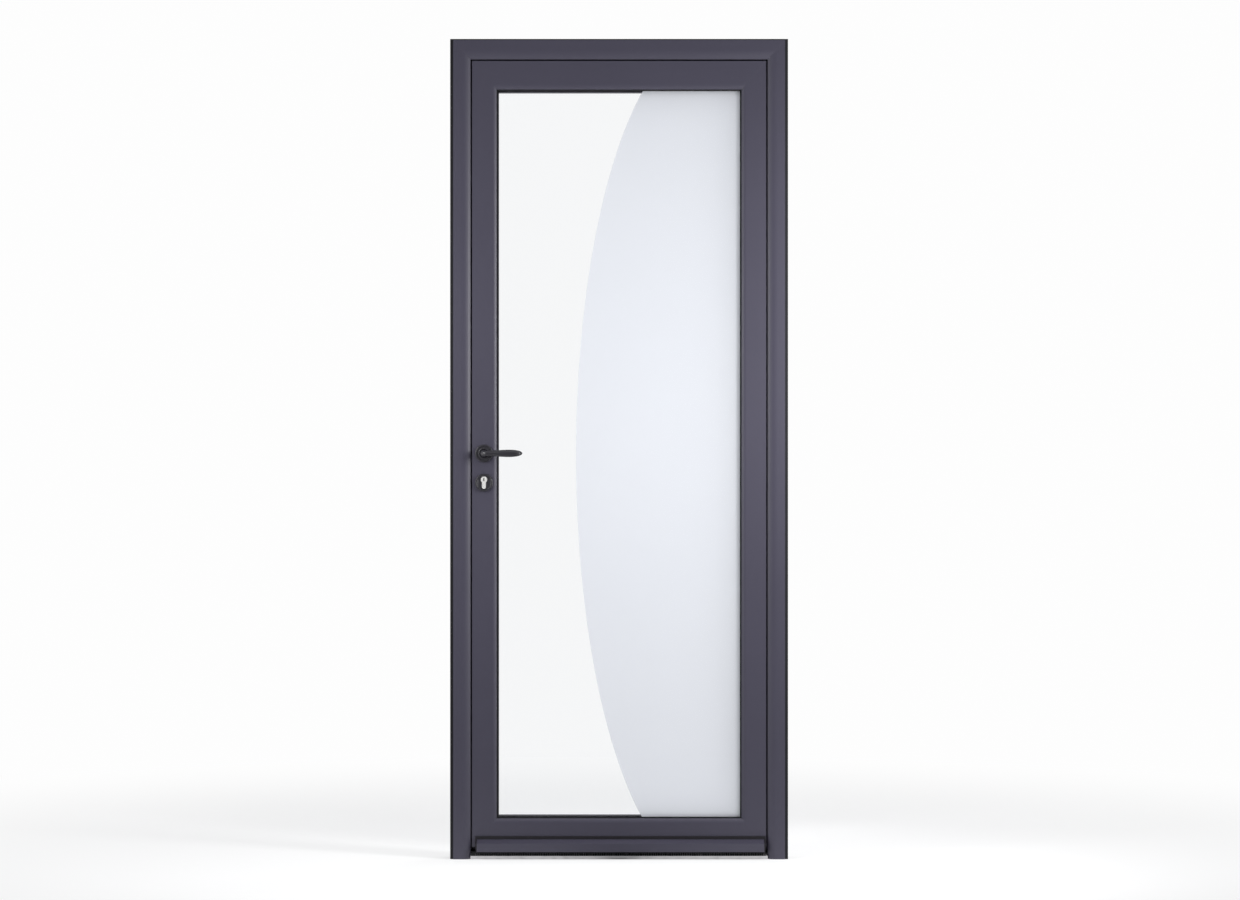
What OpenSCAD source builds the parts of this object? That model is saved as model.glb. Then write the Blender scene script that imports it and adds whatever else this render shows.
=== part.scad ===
// Glass entrance door in its own frame: a thermally broken aluminium leaf that opens
// inward, one sealed double-glazed unit, and a three-point lock with lever handles.
// Millimetres. X runs across the door, Y from the outside to the inside, Z up.
// The origin lies under the middle of the threshold.
// "Inset" is a distance counted inward from the outer side of the frame.

/* [Frame] */
// Width over the jambs
frame_w = 900; // [700:5:1100]
// Height from the underside of the threshold to the top of the head
frame_h = 2185; // [1800:5:2700]
// Depth of the frame, and of the leaf
frame_d = 70; // [68:1:90]
// Width of the jamb that shows from outside
frame_face = 54; // [50:1:64]
// Flat land of the jamb that lies outside its bevel
frame_land = 29; // [20:1:32]
// How far the bevel drops from the land to the lip
frame_bevel_drop = 8; // [4:0.5:10]
// Inset of the rebate wall that the leaf closes into
rebate_inset = 40; // [38:1:44]
// Width of the black wall seal at the sides
wall_seal_w = 8; // [4:1:10]
// Width of the black wall seal at the top
head_seal_w = 3; // [2:1:8]
// Wall thickness of the aluminium profiles
wall = 1.9; // [1.5:0.1:2.4]

/* [Threshold] */
// Height of the threshold's running surface
threshold_h = 14; // [12:1:18]
// Height of the bare nose in front
nose_h = 9; // [8:0.5:10]
// Height of the dark step under the nose
nose_step = 4.5; // [3:0.5:6]
// Top of the brush that seals under the weather bar
brush_top = 20.5; // [18:0.5:20.5]

/* [Leaf] */
// Gap that shows between the frame's lip and the leaf
leaf_gap = 4; // [3:0.5:6]
// Width of the stile from its outer edge to the end of its glazing leg
stile_w = 65.5; // [60:0.5:90]
// Width of the rail from its outer edge to the end of its glazing leg
rail_w = 75.5; // [66:0.5:110]
// Width of the bevel beside the glass
leg_bevel = 12; // [6:0.5:14]
// How far the leaf's outer face lies behind the frame's outer face
leaf_step = 8; // [6:0.5:9]
// Height of the leaf's outer face above the floor
leaf_bottom = 32; // [30:0.5:40]
// Width that the leaf's inner lip covers of the frame
lip_cover = 8; // [6:0.5:9]

/* [Glass] */
// Thickness of each pane
pane_t = 6; // [4:1:8]
// Width of the gas space between the panes
gas_gap = 16; // [12:1:18]
// Gap between the glass edge and the leaf's rebate
glass_edge_gap = 5; // [4:0.5:7]
// Width of the black gasket that shows beside the glass
gasket_show = 4; // [2:0.5:6]

/* [Weather bar] */
// Height of the weather bar
bar_h = 31.5; // [24:0.5:40]
// How far the bar stands out from the leaf
bar_d = 25; // [18:1:30]
// Height of its sloping top
bar_slope = 9; // [4:0.5:14]
// Distance from the leaf's edge to the bar on the lock side
bar_lock_inset = 11.5; // [10:0.5:30]
// Distance from the leaf's edge to the bar on the hinge side
bar_hinge_inset = 4; // [4:0.5:20]

/* [Handle and lock] */
// Height of the lever's spindle above the floor
handle_h = 1081; // [950:1:1150]
// Distance from the spindle down to the key cylinder
cylinder_drop = 70; // [68:1:92]
// Inset of the spindle and of the key cylinder
spindle_inset = 90; // [88:0.5:92]
// Angle that the lever travels
lever_angle = 40; // [30:1:40]
// Length of the lever from the spindle to its tip
lever_len = 99; // [85:1:140]
// Radius of the roses and of the escutcheons
rose_r = 23.5; // [20:0.5:24]
// Thickness of the roses and of the escutcheons
rose_t = 8; // [6:0.5:9]
// Side of the square spindle
spindle_side = 8; // [7:0.5:9]
// How far the latch stands out from the faceplate
latch_throw = 11; // [9:0.5:12]
// How far the deadbolt travels
deadbolt_throw = 20; // [15:1:22]
// Height of the lower hook's pivot above the floor
lower_hook_h = 420; // [350:5:600]
// Distance from the frame's top down to the upper hook's pivot
upper_hook_drop = 445; // [350:5:600]

/* [Hinges] */
// Radius of the hinge barrel
barrel_r = 8; // [7.5:0.25:8]
// Radius of the hinge pin
hinge_pin_r = 5; // [4:0.25:5.5]
// Length of each of the three knuckles
knuckle_l = 30; // [20:1:40]
// Distance from the frame's ends to the middle of the outer hinges
hinge_end = 250; // [200:5:400]

/* [Wall fixings] */
// Radius of the holes for the frame screws that go into the wall
fixing_r = 4; // [3:0.25:6]
// Distance from the frame's ends to the outer fixings
fixing_end = 235; // [150:5:300]
// Distance from the door's mid-height to the inner fixings
fixing_mid = 275; // [150:5:400]

/* [Hidden] */
$fn = 64;
// Running clearance of a pin in its bore, and play of a piece that only slides
fit = 0.06;
play = 0.4;
over = 1;
half_w = frame_w / 2;

// Faces of the frame and of the leaf, from outside to inside
frame_front = -frame_d / 2;
frame_back = frame_d / 2;
leaf_front = frame_front + leaf_step;
leaf_back = frame_back + leaf_step;
frame_outer_d = 25;
frame_inner_d = 23;
frame_break_front = frame_front + frame_outer_d;
frame_break_back = frame_back - frame_inner_d;
leaf_outer_d = 23;
leaf_inner_d = 29;
leaf_break_front = leaf_front + leaf_outer_d;
leaf_break_back = leaf_back - leaf_inner_d;

// Insets of the frame's profile
lip_back = frame_front + 12;
seal_back = frame_front + 17;
seal_proud = 4;
break_t = 2;
break_play = 0.3;

// Insets of the leaf's profile
leaf_edge = frame_face + leaf_gap;
inner_edge = rebate_inset + leaf_gap;
lip_edge = rebate_inset - lip_cover;
lip_t = 6;
edge_wall = 5;
glazing_leg = 15.5;
leg_depth = 8.5;
leg_drop = 5;
leg_end = leaf_edge + stile_w;
glass_rebate = leg_end - glazing_leg;
leg_back = leaf_front + leg_depth;
leg_tip_front = leaf_front + leg_drop;
leaf_lift = leaf_edge - leaf_bottom;
leaf_foot = leaf_bottom - (leaf_edge - inner_edge);

// A rail is wider than a stile, so its profile is stretched beyond the leaf's edge and
// every corner of the two profiles still meets on one mitre
function rail_inset(u) = u < leaf_edge ? u : leaf_edge + (u - leaf_edge) * rail_w / stile_w;
function on_rail(points) = [for (p = points) [rail_inset(p[0]), p[1]]];

// The head has a narrower wall seal, so its land is wider by as much
function head_inset(u) =
    u < wall_seal_w ? u * head_seal_w / wall_seal_w :
    u < frame_land ? head_seal_w
        + (u - wall_seal_w) * (frame_land - head_seal_w) / (frame_land - wall_seal_w) : u;
function on_head(points) = [for (p = points) [head_inset(p[0]), p[1]]];

// Glazing: gasket, pane, spacer, pane, gasket, from outside to inside
gasket_t = 3;
pane_front = leg_back + gasket_t;
gas_front = pane_front + pane_t;
gas_back = gas_front + gas_gap;
pane_back = gas_back + pane_t;
bead_front = pane_back + gasket_t;
sight = leg_end + gasket_show;
rail_sight = rail_inset(leg_end) + gasket_show;
glass_inset = glass_rebate + glass_edge_gap;
rail_glass_inset = rail_inset(glass_rebate) + glass_edge_gap;
sealant_w = 5;
spacer_w = 7;
gasket_w = 12.5;
bead_wall = 1.5;
bead_play = 0.2;

// Seals between the leaf and the frame
central_depth = 9;
central_back = frame_break_back;
central_tip = leaf_edge - 6;
central_seat = rebate_inset - break_t;
lip_seal_out = rebate_inset - leaf_gap;
lip_seal_w = 4;
lip_seal_gap = 0.3;

// Weather bar, from the leaf's face outward
bar_base_t = 3.5;
bar_bottom = brush_top + 0.5;
bar_wall = 1.8;
bar_front = leaf_front - bar_d;
bar_back = leaf_front - bar_base_t;
bar_left = -half_w + leaf_edge + bar_lock_inset;
bar_right = half_w - leaf_edge - bar_hinge_inset;
bar_cap_t = 2;
base_margin = 3;
base_top = bar_bottom + bar_h + 8.5;

// Brush in the threshold
brush_y = frame_front + 5;
brush_t = 3;
brush_root = nose_h - 3.3;

// Lock: everything sits on one depth behind the faceplate
lock_y = leaf_back - 17;
plate_t = 3;
plate_half = 9.8;
plate_bottom = 200;
plate_top = frame_h - 205;
plate_inner = inner_edge + plate_t;
case_half = 8;
case_t = 1.5;
case_left = plate_inner;
case_right = glass_rebate - wall - 1.1;
cylinder_h = handle_h - cylinder_drop;
case_bottom = cylinder_h - 61;
case_top = handle_h + 64;
bolt_half = 6;
spindle_x = -half_w + spindle_inset;

// Follower and latch: the follower's arm pushes the stop on the latch's tail
follower_r = 9.8;
arm_len = 16;
arm_half = 2;
arm_lean = lever_angle / 2;
tail_rise = 12;
tail_low = handle_h + tail_rise;
tail_high = handle_h + 2 * tail_rise;
arm_face = (tail_rise - arm_half * sin(arm_lean)) * tan(arm_lean) - arm_half * cos(arm_lean);
stop_x = spindle_x - arm_face + 0.35;
stop_w = 3;
latch_low = handle_h + 8;
latch_high = handle_h + 28;
latch_body = 16;
deadbolt_low = cylinder_h + 22;
deadbolt_high = cylinder_h + 44;
deadbolt_len = deadbolt_throw + 10;

// Key cylinder of the common European outline
cyl_r = 8.5;
stem_half = 5;
stem_low = 24.5;
cyl_proud = 2;
cyl_front = leaf_front - rose_t - cyl_proud;
cyl_back = leaf_back + rose_t + cyl_proud;
plug_r = 6.44;
cam_half = 4.7;
cam_r = 7.9;
cam_lug_half = 3.5;
cam_sweep = 13.2;
cam_reach = sqrt(pow(cam_sweep, 2) - pow(cam_lug_half, 2));
escutcheon_drop = 8;
key_slot_w = 2.4;
key_slot_h = 8.5;
key_slot_d = 12;

// Hooks turn out of their cases; the rods join them to the lock
hook_inset = inner_edge + 14;
hook_len = 32;
hook_half = 5;
hook_claw = 10;
hook_nose = 7;
hook_t = 4;
hook_ring_r = 9;
hook_pin_r = 3;
rod_travel = 20;
hook_case_low = rod_travel + hook_ring_r + 21;
hook_case_high = rod_travel + hook_len + 18;
hook_case_right = hook_inset + 22;
upper_hook_h = frame_h - upper_hook_drop;
hook_heights = [lower_hook_h, upper_hook_h];
rod_left = plate_inner + 2.3;
rod_t = 2.5;
rod_half = 6.5;

// Rim and groove of the turned discs, and the levers
rim = 3;
groove_at = 6;
groove_half = 0.6;
neck_r = 9.5;
grip_y = leaf_front - 41;
grip_tip_x = spindle_x + lever_len;
spindle_end = 31;

// Hinges on the inside of the right jamb
hinge_x = half_w - rebate_inset + leaf_gap;
hinge_y = leaf_back + 10;
hinge_heights = [hinge_end, frame_h / 2, frame_h - hinge_end];
knuckle_gap = 0.5;
leaf_t = 3;
frame_leaf_t = 3.5;
hinge_web_w = 4.5;
hinge_web_bite = 2.5;
hinge_plate_gap = 1;
sash_web_far = 10;
sash_web_near = 2;
pin_gap = 0.3;
hinge_plate_w = 22;
hinge_leaf_w = 38;
pin_cap_t = 3;
pin_cap_r = 7;

// Screws
screw_r = 2.4;
screw_hole_r = 2.5;
screw_head_r = 4.4;
screw_head_t = 2;
screw_seat_r = screw_head_r + 0.1;
screw_len = 9;
base_head_t = 1.2;
base_screw_end = 170;
hinge_screw_rise = 30;
frame_leaf_screw_out = 14;
sash_leaf_screw_out = 28;
cylinder_screw_rise = 4.5;
cylinder_screw_bite = 2;

// Strike plates in the lock jamb, and the heights of the screws along the lock
strike_t = 2;
strike_half = 10;
strike_len = 130;
strike_seat = 0.6;
hook_strike_low = 22;
hook_strike_high = 48;
latch_strike_low = deadbolt_low - 20;
strike_screw_heights = concat(
    [latch_strike_low + 8, latch_strike_low + strike_len - 8],
    [for (z = hook_heights) z - hook_strike_low + 7],
    [for (z = hook_heights) z + hook_strike_high - 7]
);
plate_screw_end = 15;
plate_screw_heights = [
    plate_bottom + plate_screw_end, lower_hook_h + 130, handle_h - 200, handle_h + 200,
    upper_hook_h - 130, plate_top - plate_screw_end
];

// Wall fixings
fixing_heights_outer = [fixing_end, frame_h - fixing_end];
fixing_heights_inner = [frame_h / 2 - fixing_mid, frame_h / 2 + fixing_mid];
fixing_y = frame_back - frame_inner_d / 2;
access_r = 7;

coated = "#474550";
bare = "#b0aeb2";
black = "#18181b";
polyamide = "#2a2a2e";
steel = "#a9abb0";
nickel = "#c4c2bc";
glass_colour = "#cfe0e666";

// ---- Placing ----------------------------------------------------------------------

// Stand a profile of [inset, y] points up the left side
module up_left(z0, z1)
    translate([-half_w, 0, z0]) linear_extrude(z1 - z0) children();

module up_right(z0, z1)
    mirror([1, 0, 0]) up_left(z0, z1) children();

// Lay a profile of [inset, y] points along the top
module along_top(x0, x1)
    translate([x0, 0, frame_h]) rotate([0, 90, 0]) linear_extrude(x1 - x0) children();

// Lay a profile of [height, y] points along the bottom
module along_bottom(x0, x1)
    mirror([0, 0, 1]) translate([x0, 0, 0]) rotate([0, 90, 0]) linear_extrude(x1 - x0)
        children();

// A shape drawn in X and Z, carried through the door from y0 to y1
module through(y0, y1, x = 0, z = 0)
    translate([x, y1, z]) rotate([90, 0, 0]) linear_extrude(y1 - y0) children();

// A block from one corner to the other
module block(low, high)
    translate(low) cube(high - low);

// A block on the lock side, with its X given as insets
module lock_block(u0, u1, y0, y1, z0, z1)
    block([-half_w + u0, y0, z0], [-half_w + u1, y1, z1]);

// A flat ring around the glass, from one inset to another
module glass_ring(u0, v0, width, y0, y1)
    through(y0, y1) difference() {
        leaf_window(u0, v0);
        leaf_window(u0 + width, v0 + width);
    }

// Rectangle that lies u0 in from the sides, and v0 in from the top and the lifted bottom
module leaf_window(u0, v0)
    translate([-half_w + u0, v0 - leaf_lift])
        square([frame_w - 2 * u0, frame_h + leaf_lift - 2 * v0]);

// ---- Profiles ---------------------------------------------------------------------

// A soft bevel from [u0, y0] to [u1, y1], flat where it starts
bevel_turn = 60;
bevel_steps = 6;
function bevel(u0, y0, u1, y1, steps = bevel_steps) = [
    for (i = [0 : steps])
        let (a = bevel_turn * i / bevel_steps)
        [u0 + (u1 - u0) * sin(a) / sin(bevel_turn),
         y0 + (y1 - y0) * (1 - cos(a)) / (1 - cos(bevel_turn))]
];
function moved(points, du, dy) = [for (p = points) [p[0] + du, p[1] + dy]];

frame_outer_shape = concat(
    [[wall_seal_w, seal_back], [wall_seal_w, frame_front]],
    bevel(frame_land, frame_front, frame_face, frame_front + frame_bevel_drop),
    [[frame_face, lip_back], [rebate_inset, lip_back], [rebate_inset, frame_break_front],
     [0, frame_break_front], [0, seal_back]]
);
frame_outer_hollow = concat(
    [[wall_seal_w + wall, seal_back + wall], [wall_seal_w + wall, frame_front + wall]],
    moved(bevel(frame_land, frame_front, frame_face, frame_front + frame_bevel_drop, 4),
        0, wall),
    [[frame_face - wall - 1, lip_back - wall], [rebate_inset - wall, lip_back - wall],
     [rebate_inset - wall, frame_break_front - wall], [wall, frame_break_front - wall],
     [wall, seal_back + wall]]
);
frame_inner_shape = [
    [0, frame_break_back], [rebate_inset, frame_break_back],
    [rebate_inset, frame_back], [0, frame_back]
];
frame_inner_hollow = [
    [wall, frame_break_back + wall], [rebate_inset - wall, frame_break_back + wall],
    [rebate_inset - wall, frame_back - wall], [wall, frame_back - wall]
];

leaf_outer_shape = concat(
    [[leaf_edge, leaf_front]],
    bevel(leg_end - leg_bevel, leaf_front, leg_end, leg_tip_front),
    [[leg_end, leg_back], [glass_rebate, leg_back], [glass_rebate, leaf_break_front],
     [leaf_edge, leaf_break_front]]
);
leaf_outer_hollow = [
    [leaf_edge + wall, leaf_front + wall], [leg_end - leg_bevel, leaf_front + wall],
    [leg_end - 4, leg_back - wall - 1], [leg_end - 4, leg_back - wall],
    [glass_rebate - wall, leg_back - wall], [glass_rebate - wall, leaf_break_front - wall],
    [leaf_edge + wall, leaf_break_front - wall]
];
leaf_inner_shape = [
    [inner_edge, leaf_break_back], [glass_rebate, leaf_break_back],
    [glass_rebate, leaf_back], [lip_edge, leaf_back],
    [lip_edge, leaf_back - lip_t], [inner_edge, leaf_back - lip_t]
];
leaf_foot_shape = [
    [inner_edge, leaf_break_back], [glass_rebate, leaf_break_back],
    [glass_rebate, leaf_back], [inner_edge, leaf_back]
];
leaf_inner_hollow = [
    [inner_edge + edge_wall, leaf_break_back + wall],
    [glass_rebate - wall, leaf_break_back + wall],
    [glass_rebate - wall, leaf_back - wall], [inner_edge + edge_wall, leaf_back - wall]
];

module hollow(outside, inside)
    difference() {
        polygon(outside);
        polygon(inside);
    }

// Two bars side by side that carry one shell on the other
module break_bars(u0, u1, y0, y1, stretch = false) {
    bars = [
        [[u0, y0], [u0 + break_t, y0], [u0 + break_t, y1], [u0, y1]],
        [[u1 - break_t, y0], [u1, y0], [u1, y1], [u1 - break_t, y1]]
    ];
    for (b = bars) polygon(stretch ? on_rail(b) : b);
}

// ---- Frame members, mitred at the head --------------------------------------------

frame_mitre = [
    [0, 0], [wall_seal_w, head_seal_w], [frame_land, frame_land], [frame_face, frame_face]
];

module jamb_run()
    intersection() {
        up_left(0, frame_h) children();
        through(frame_front - over, frame_back + over) polygon(concat(
            [[-half_w, 0]], [for (m = frame_mitre) [-half_w + m[0], frame_h - m[1]]],
            [[-half_w + frame_face, 0]]
        ));
    }

module head_run()
    intersection() {
        along_top(-half_w, half_w) children();
        through(frame_front - over, frame_back + over) polygon(concat(
            [for (m = frame_mitre) [-half_w + m[0], frame_h - m[1]]],
            [for (i = [3 : -1 : 0]) [half_w - frame_mitre[i][0], frame_h - frame_mitre[i][1]]]
        ));
    }

module jamb_outer()
    jamb_run() hollow(frame_outer_shape, frame_outer_hollow);

// The inner shell with its wall fixings and the wider holes that let the screws pass
module jamb_inner_plain()
    difference() {
        jamb_run() hollow(frame_inner_shape, frame_inner_hollow);
        for (z = concat(fixing_heights_outer, fixing_heights_inner)) {
            translate([-half_w - over, fixing_y, z]) rotate([0, 90, 0])
                cylinder(h = wall + 2 * over, r = fixing_r);
            translate([-half_w + rebate_inset - wall - over, fixing_y, z])
                rotate([0, 90, 0]) cylinder(h = wall + 2 * over, r = access_r);
        }
    }

module left_jamb_outer() color(coated) jamb_outer();

module right_jamb_outer() color(coated) mirror([1, 0, 0]) jamb_outer();

module left_jamb_inner() color(coated)
    difference() {
        jamb_inner_plain();
        lock_openings(rebate_inset - wall - over, rebate_inset + over, play);
        strike_screws(screw_hole_r, 0);
    }

module right_jamb_inner() color(coated)
    difference() {
        mirror([1, 0, 0]) jamb_inner_plain();
        frame_leaf_screws(screw_hole_r, 0);
    }

module head_outer() color(coated)
    head_run() hollow(on_head(frame_outer_shape), on_head(frame_outer_hollow));

module head_inner() color(coated)
    head_run() hollow(on_head(frame_inner_shape), on_head(frame_inner_hollow));

module frame_thermal_breaks() color(polyamide) {
    bar_low = break_t;
    bar_high = rebate_inset - break_t;
    jamb_run() break_bars(bar_low, bar_high, frame_break_front, frame_break_back);
    mirror([1, 0, 0])
        jamb_run() break_bars(bar_low, bar_high, frame_break_front, frame_break_back);
    translate([0, 0, break_play]) head_run()
        break_bars(head_inset(bar_low), bar_high, frame_break_front, frame_break_back);
    along_bottom(-threshold_half, threshold_half)
        break_bars(0, threshold_h, frame_break_front, frame_break_back);
}

// An angle that joins two members inside their chambers: [inset, drop] of its outer
// corner, the widths of its two arms and their reach
module cleat(u0, v0, u_width, v_width, reach, y0, y1, top = frame_h)
    through(y0, y1) polygon([
        [-half_w + u0, top - v0], [-half_w + u0, top - v0 - reach],
        [-half_w + u0 + u_width, top - v0 - reach],
        [-half_w + u0 + u_width, top - v0 - v_width],
        [-half_w + u0 + reach, top - v0 - v_width], [-half_w + u0 + reach, top - v0]
    ]);

cleat_play = 0.2;
cleat_reach = 95;
bevel_room = 1.5;
module frame_corner_cleats() color(bare)
    for (side = [0, 1]) mirror([side, 0, 0]) {
        inner = wall + cleat_play;
        outer = frame_land - 17;
        cleat(inner, inner, rebate_inset - 2 * inner, rebate_inset - 2 * inner, cleat_reach,
            frame_break_back + inner, frame_back - inner);
        cleat(outer, outer, rebate_inset - inner - outer, rebate_inset - inner - outer,
            cleat_reach, frame_front + inner + bevel_room, frame_break_front - inner);
    }

module wall_seal_strips() color(black) {
    strip_front = frame_front + seal_proud;
    for (side = [0, 1]) mirror([side, 0, 0])
        up_left(0, frame_h) translate([0, strip_front])
            square([wall_seal_w, seal_back - strip_front]);
    along_top(-half_w + wall_seal_w, half_w - wall_seal_w) translate([0, strip_front])
        square([head_seal_w, seal_back - strip_front]);
}

// ---- Threshold --------------------------------------------------------------------

threshold_half = half_w - frame_face;
nose_top_end = frame_front + 9;
ramp_end = frame_front + 17;
nose_foot = frame_front + 4;
outer_threshold_shape = [
    [nose_step, frame_front], [nose_h, frame_front], [nose_h, nose_top_end],
    [threshold_h, ramp_end], [threshold_h, frame_break_front], [0, frame_break_front],
    [0, nose_foot], [nose_step, nose_foot]
];
outer_threshold_hollow = [
    [wall, nose_top_end], [nose_h - wall, nose_top_end],
    [threshold_h - wall, ramp_end + 0.5], [threshold_h - wall, frame_break_front - wall],
    [wall, frame_break_front - wall]
];
inner_threshold_shape = [
    [0, frame_break_back], [threshold_h, frame_break_back],
    [threshold_h, frame_back], [0, frame_back]
];
inner_threshold_hollow = [
    [wall, frame_break_back + wall], [threshold_h - wall, frame_break_back + wall],
    [threshold_h - wall, frame_back - wall], [wall, frame_back - wall]
];

module threshold_outer() color(bare)
    along_bottom(-threshold_half, threshold_half) difference() {
        hollow(outer_threshold_shape, outer_threshold_hollow);
        translate([brush_root, brush_y - brush_t / 2]) square([nose_h, brush_t]);
    }

module threshold_inner() color(bare)
    along_bottom(-threshold_half, threshold_half)
        hollow(inner_threshold_shape, inner_threshold_hollow);

module threshold_end_blocks() color(black)
    for (side = [0, 1]) mirror([side, 0, 0])
        lock_block(rebate_inset, frame_face, lip_back, frame_back, 0, threshold_h);

module threshold_brush() color(black)
    block([-threshold_half, brush_y - brush_t / 2, brush_root],
        [threshold_half, brush_y + brush_t / 2, brush_top]);

// Ring that the leaf's inner shell closes against; it stands on the threshold
module central_gasket() color(black)
    through(central_back - central_depth, central_back) difference() {
        gasket_foot_block(central_seat, 0);
        gasket_foot_block(central_tip, brush_top - threshold_h);
    }

module gasket_foot_block(u, rise)
    translate([-half_w + u, threshold_h + rise])
        square([frame_w - 2 * u, frame_h - u - threshold_h - rise]);

// ---- Leaf members, mitred at all four corners -------------------------------------

// The mitre from the lip's corner to the corner of the glazing leg, as [inset, drop]
leaf_mitre = [
    [lip_edge, lip_edge], [leaf_edge, leaf_edge], [sight, rail_inset(sight)]
];
foot_mitre = [
    [lip_edge, inner_edge], [inner_edge, inner_edge], [leaf_edge, leaf_edge],
    [sight, rail_inset(sight)]
];
function left_top(m) = [-half_w + m[0], frame_h - m[1]];
function left_foot(m) = [-half_w + m[0], m[1] - leaf_lift];
function across(p) = [-p[0], p[1]];
function back_order(list) = [for (i = [len(list) - 1 : -1 : 0]) list[i]];

module stile_run()
    intersection() {
        up_left(0, frame_h) children();
        through(leaf_front - over, leaf_back + over) polygon(concat(
            [for (m = leaf_mitre) left_top(m)],
            back_order([for (m = foot_mitre) left_foot(m)])
        ));
    }

module top_rail_run()
    intersection() {
        along_top(-half_w, half_w) children();
        through(leaf_front - over, leaf_back + over) polygon(concat(
            [for (m = leaf_mitre) left_top(m)],
            back_order([for (m = leaf_mitre) across(left_top(m))])
        ));
    }

module bottom_rail_run()
    intersection() {
        translate([0, 0, -leaf_lift]) along_bottom(-half_w, half_w) children();
        through(leaf_front - over, leaf_back + over) polygon(concat(
            [for (m = foot_mitre) left_foot(m)],
            back_order([for (m = foot_mitre) across(left_foot(m))])
        ));
    }

module leaf_outer_profile() hollow(leaf_outer_shape, leaf_outer_hollow);

module leaf_inner_profile() hollow(leaf_inner_shape, leaf_inner_hollow);

// Holes for the spindle and the key cylinder, through one shell
module handle_holes(y0, y1) {
    through(y0, y1, spindle_x, handle_h) circle(r = neck_r + 2);
    through(y0, y1, spindle_x, cylinder_h) cylinder_outline(1);
}

module lock_stile_outer() color(coated)
    difference() {
        stile_run() leaf_outer_profile();
        handle_holes(leaf_front - over, leaf_break_front + over);
    }

module lock_stile_inner() color(coated)
    difference() {
        stile_run() leaf_inner_profile();
        handle_holes(leaf_break_back - over, leaf_back + over);
        lock_block(inner_edge - over, plate_inner, lock_y - plate_half - play / 2,
            lock_y + plate_half + play / 2, plate_bottom - play, plate_top + play);
        lock_block(inner_edge, inner_edge + edge_wall + over, lock_y - case_half,
            lock_y + case_half, case_bottom, case_top);
        for (z = hook_heights)
            lock_block(inner_edge, inner_edge + edge_wall + over, lock_y - case_half,
                lock_y + case_half, z - hook_case_low, z + hook_case_high);
        faceplate_screws(screw_hole_r, 0);
    }

module hinge_stile_outer() color(coated)
    mirror([1, 0, 0]) stile_run() leaf_outer_profile();

module hinge_stile_inner() color(coated)
    difference() {
        mirror([1, 0, 0]) stile_run() leaf_inner_profile();
        sash_leaf_screws(screw_hole_r, 0);
    }

module top_rail_outer() color(coated)
    top_rail_run() hollow(on_rail(leaf_outer_shape), on_rail(leaf_outer_hollow));

module top_rail_inner() color(coated)
    top_rail_run() hollow(on_rail(leaf_inner_shape), on_rail(leaf_inner_hollow));

module bottom_rail_outer() color(coated)
    difference() {
        bottom_rail_run() hollow(on_rail(leaf_outer_shape), on_rail(leaf_outer_hollow));
        base_screws(screw_hole_r, 0);
    }

module bottom_rail_inner() color(coated)
    bottom_rail_run() hollow(on_rail(leaf_foot_shape), on_rail(leaf_inner_hollow));

module sash_thermal_breaks() color(polyamide) {
    bar_low = leaf_edge + break_t;
    for (side = [0, 1]) mirror([side, 0, 0])
        stile_run() break_bars(bar_low, glass_rebate, leaf_break_front, leaf_break_back);
    translate([0, 0, break_play]) top_rail_run()
        break_bars(bar_low, glass_rebate, leaf_break_front, leaf_break_back, true);
    translate([0, 0, -break_play]) bottom_rail_run()
        break_bars(bar_low, glass_rebate, leaf_break_front, leaf_break_back, true);
}

leaf_cleat_reach = 130;
module sash_corner_cleats() color(bare)
    for (side = [0, 1], foot = [0, 1]) mirror([side, 0, 0])
        translate([0, 0, foot * (frame_h - leaf_lift)]) mirror([0, 0, foot]) {
            inner = inner_edge + edge_wall + cleat_play;
            outer = leaf_edge + wall + cleat_play;
            end = glass_rebate - wall - cleat_play;
            cleat(inner, inner, end - inner, rail_inset(end) - inner, leaf_cleat_reach,
                leaf_break_back + wall + cleat_play, leaf_back - wall - cleat_play);
            cleat(outer, rail_inset(outer), end - outer, rail_inset(end) - rail_inset(outer),
                leaf_cleat_reach,
                leaf_front + wall + cleat_play, leaf_break_front - wall - cleat_play);
        }

module inner_lip_seal() color(black)
    through(frame_back + lip_seal_gap, leaf_back - lip_t) difference() {
        lip_arch(lip_seal_out);
        lip_arch(lip_seal_out + lip_seal_w);
    }

module lip_arch(u)
    translate([-half_w + u, leaf_foot]) square([frame_w - 2 * u, frame_h - u - leaf_foot]);

// ---- Weather bar ------------------------------------------------------------------

module bar_section() {
    top = bar_bottom + bar_h;
    polygon([
        [bar_bottom, bar_front], [top - bar_slope, bar_front], [top, bar_back - 1],
        [top, bar_back], [bar_bottom + 6, bar_back], [bar_bottom + 6, bar_back - bar_wall],
        [top - bar_wall, bar_back - bar_wall],
        [top - bar_slope - bar_wall / 2, bar_front + bar_wall],
        [bar_bottom, bar_front + bar_wall]
    ]);
}

module weather_bar() color(coated)
    along_bottom(bar_left + bar_cap_t, bar_right - bar_cap_t) bar_section();

// Closing plates of the bar's ends
module weather_bar_caps() color(black) {
    top = bar_bottom + bar_h;
    cap = [
        [bar_bottom, bar_front], [top - bar_slope, bar_front], [top, bar_back - 1],
        [top, bar_back], [bar_bottom, bar_back]
    ];
    along_bottom(bar_left, bar_left + bar_cap_t) polygon(cap);
    along_bottom(bar_right - bar_cap_t, bar_right) polygon(cap);
}

// Black carrier that the bar hooks over, screwed to the bottom rail
module weather_bar_base() color(black)
    difference() {
        block([bar_left - base_margin, bar_back, bar_bottom + 3],
            [bar_right + base_margin, leaf_front, base_top]);
        base_screws(screw_hole_r, 0);
        base_screws(screw_seat_r, -base_head_t);
    }

// ---- Glazing ----------------------------------------------------------------------

module outer_glazing_gasket() color(black)
    glass_ring(sight - gasket_w, rail_sight - gasket_w, gasket_w, leg_back, pane_front);

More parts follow.
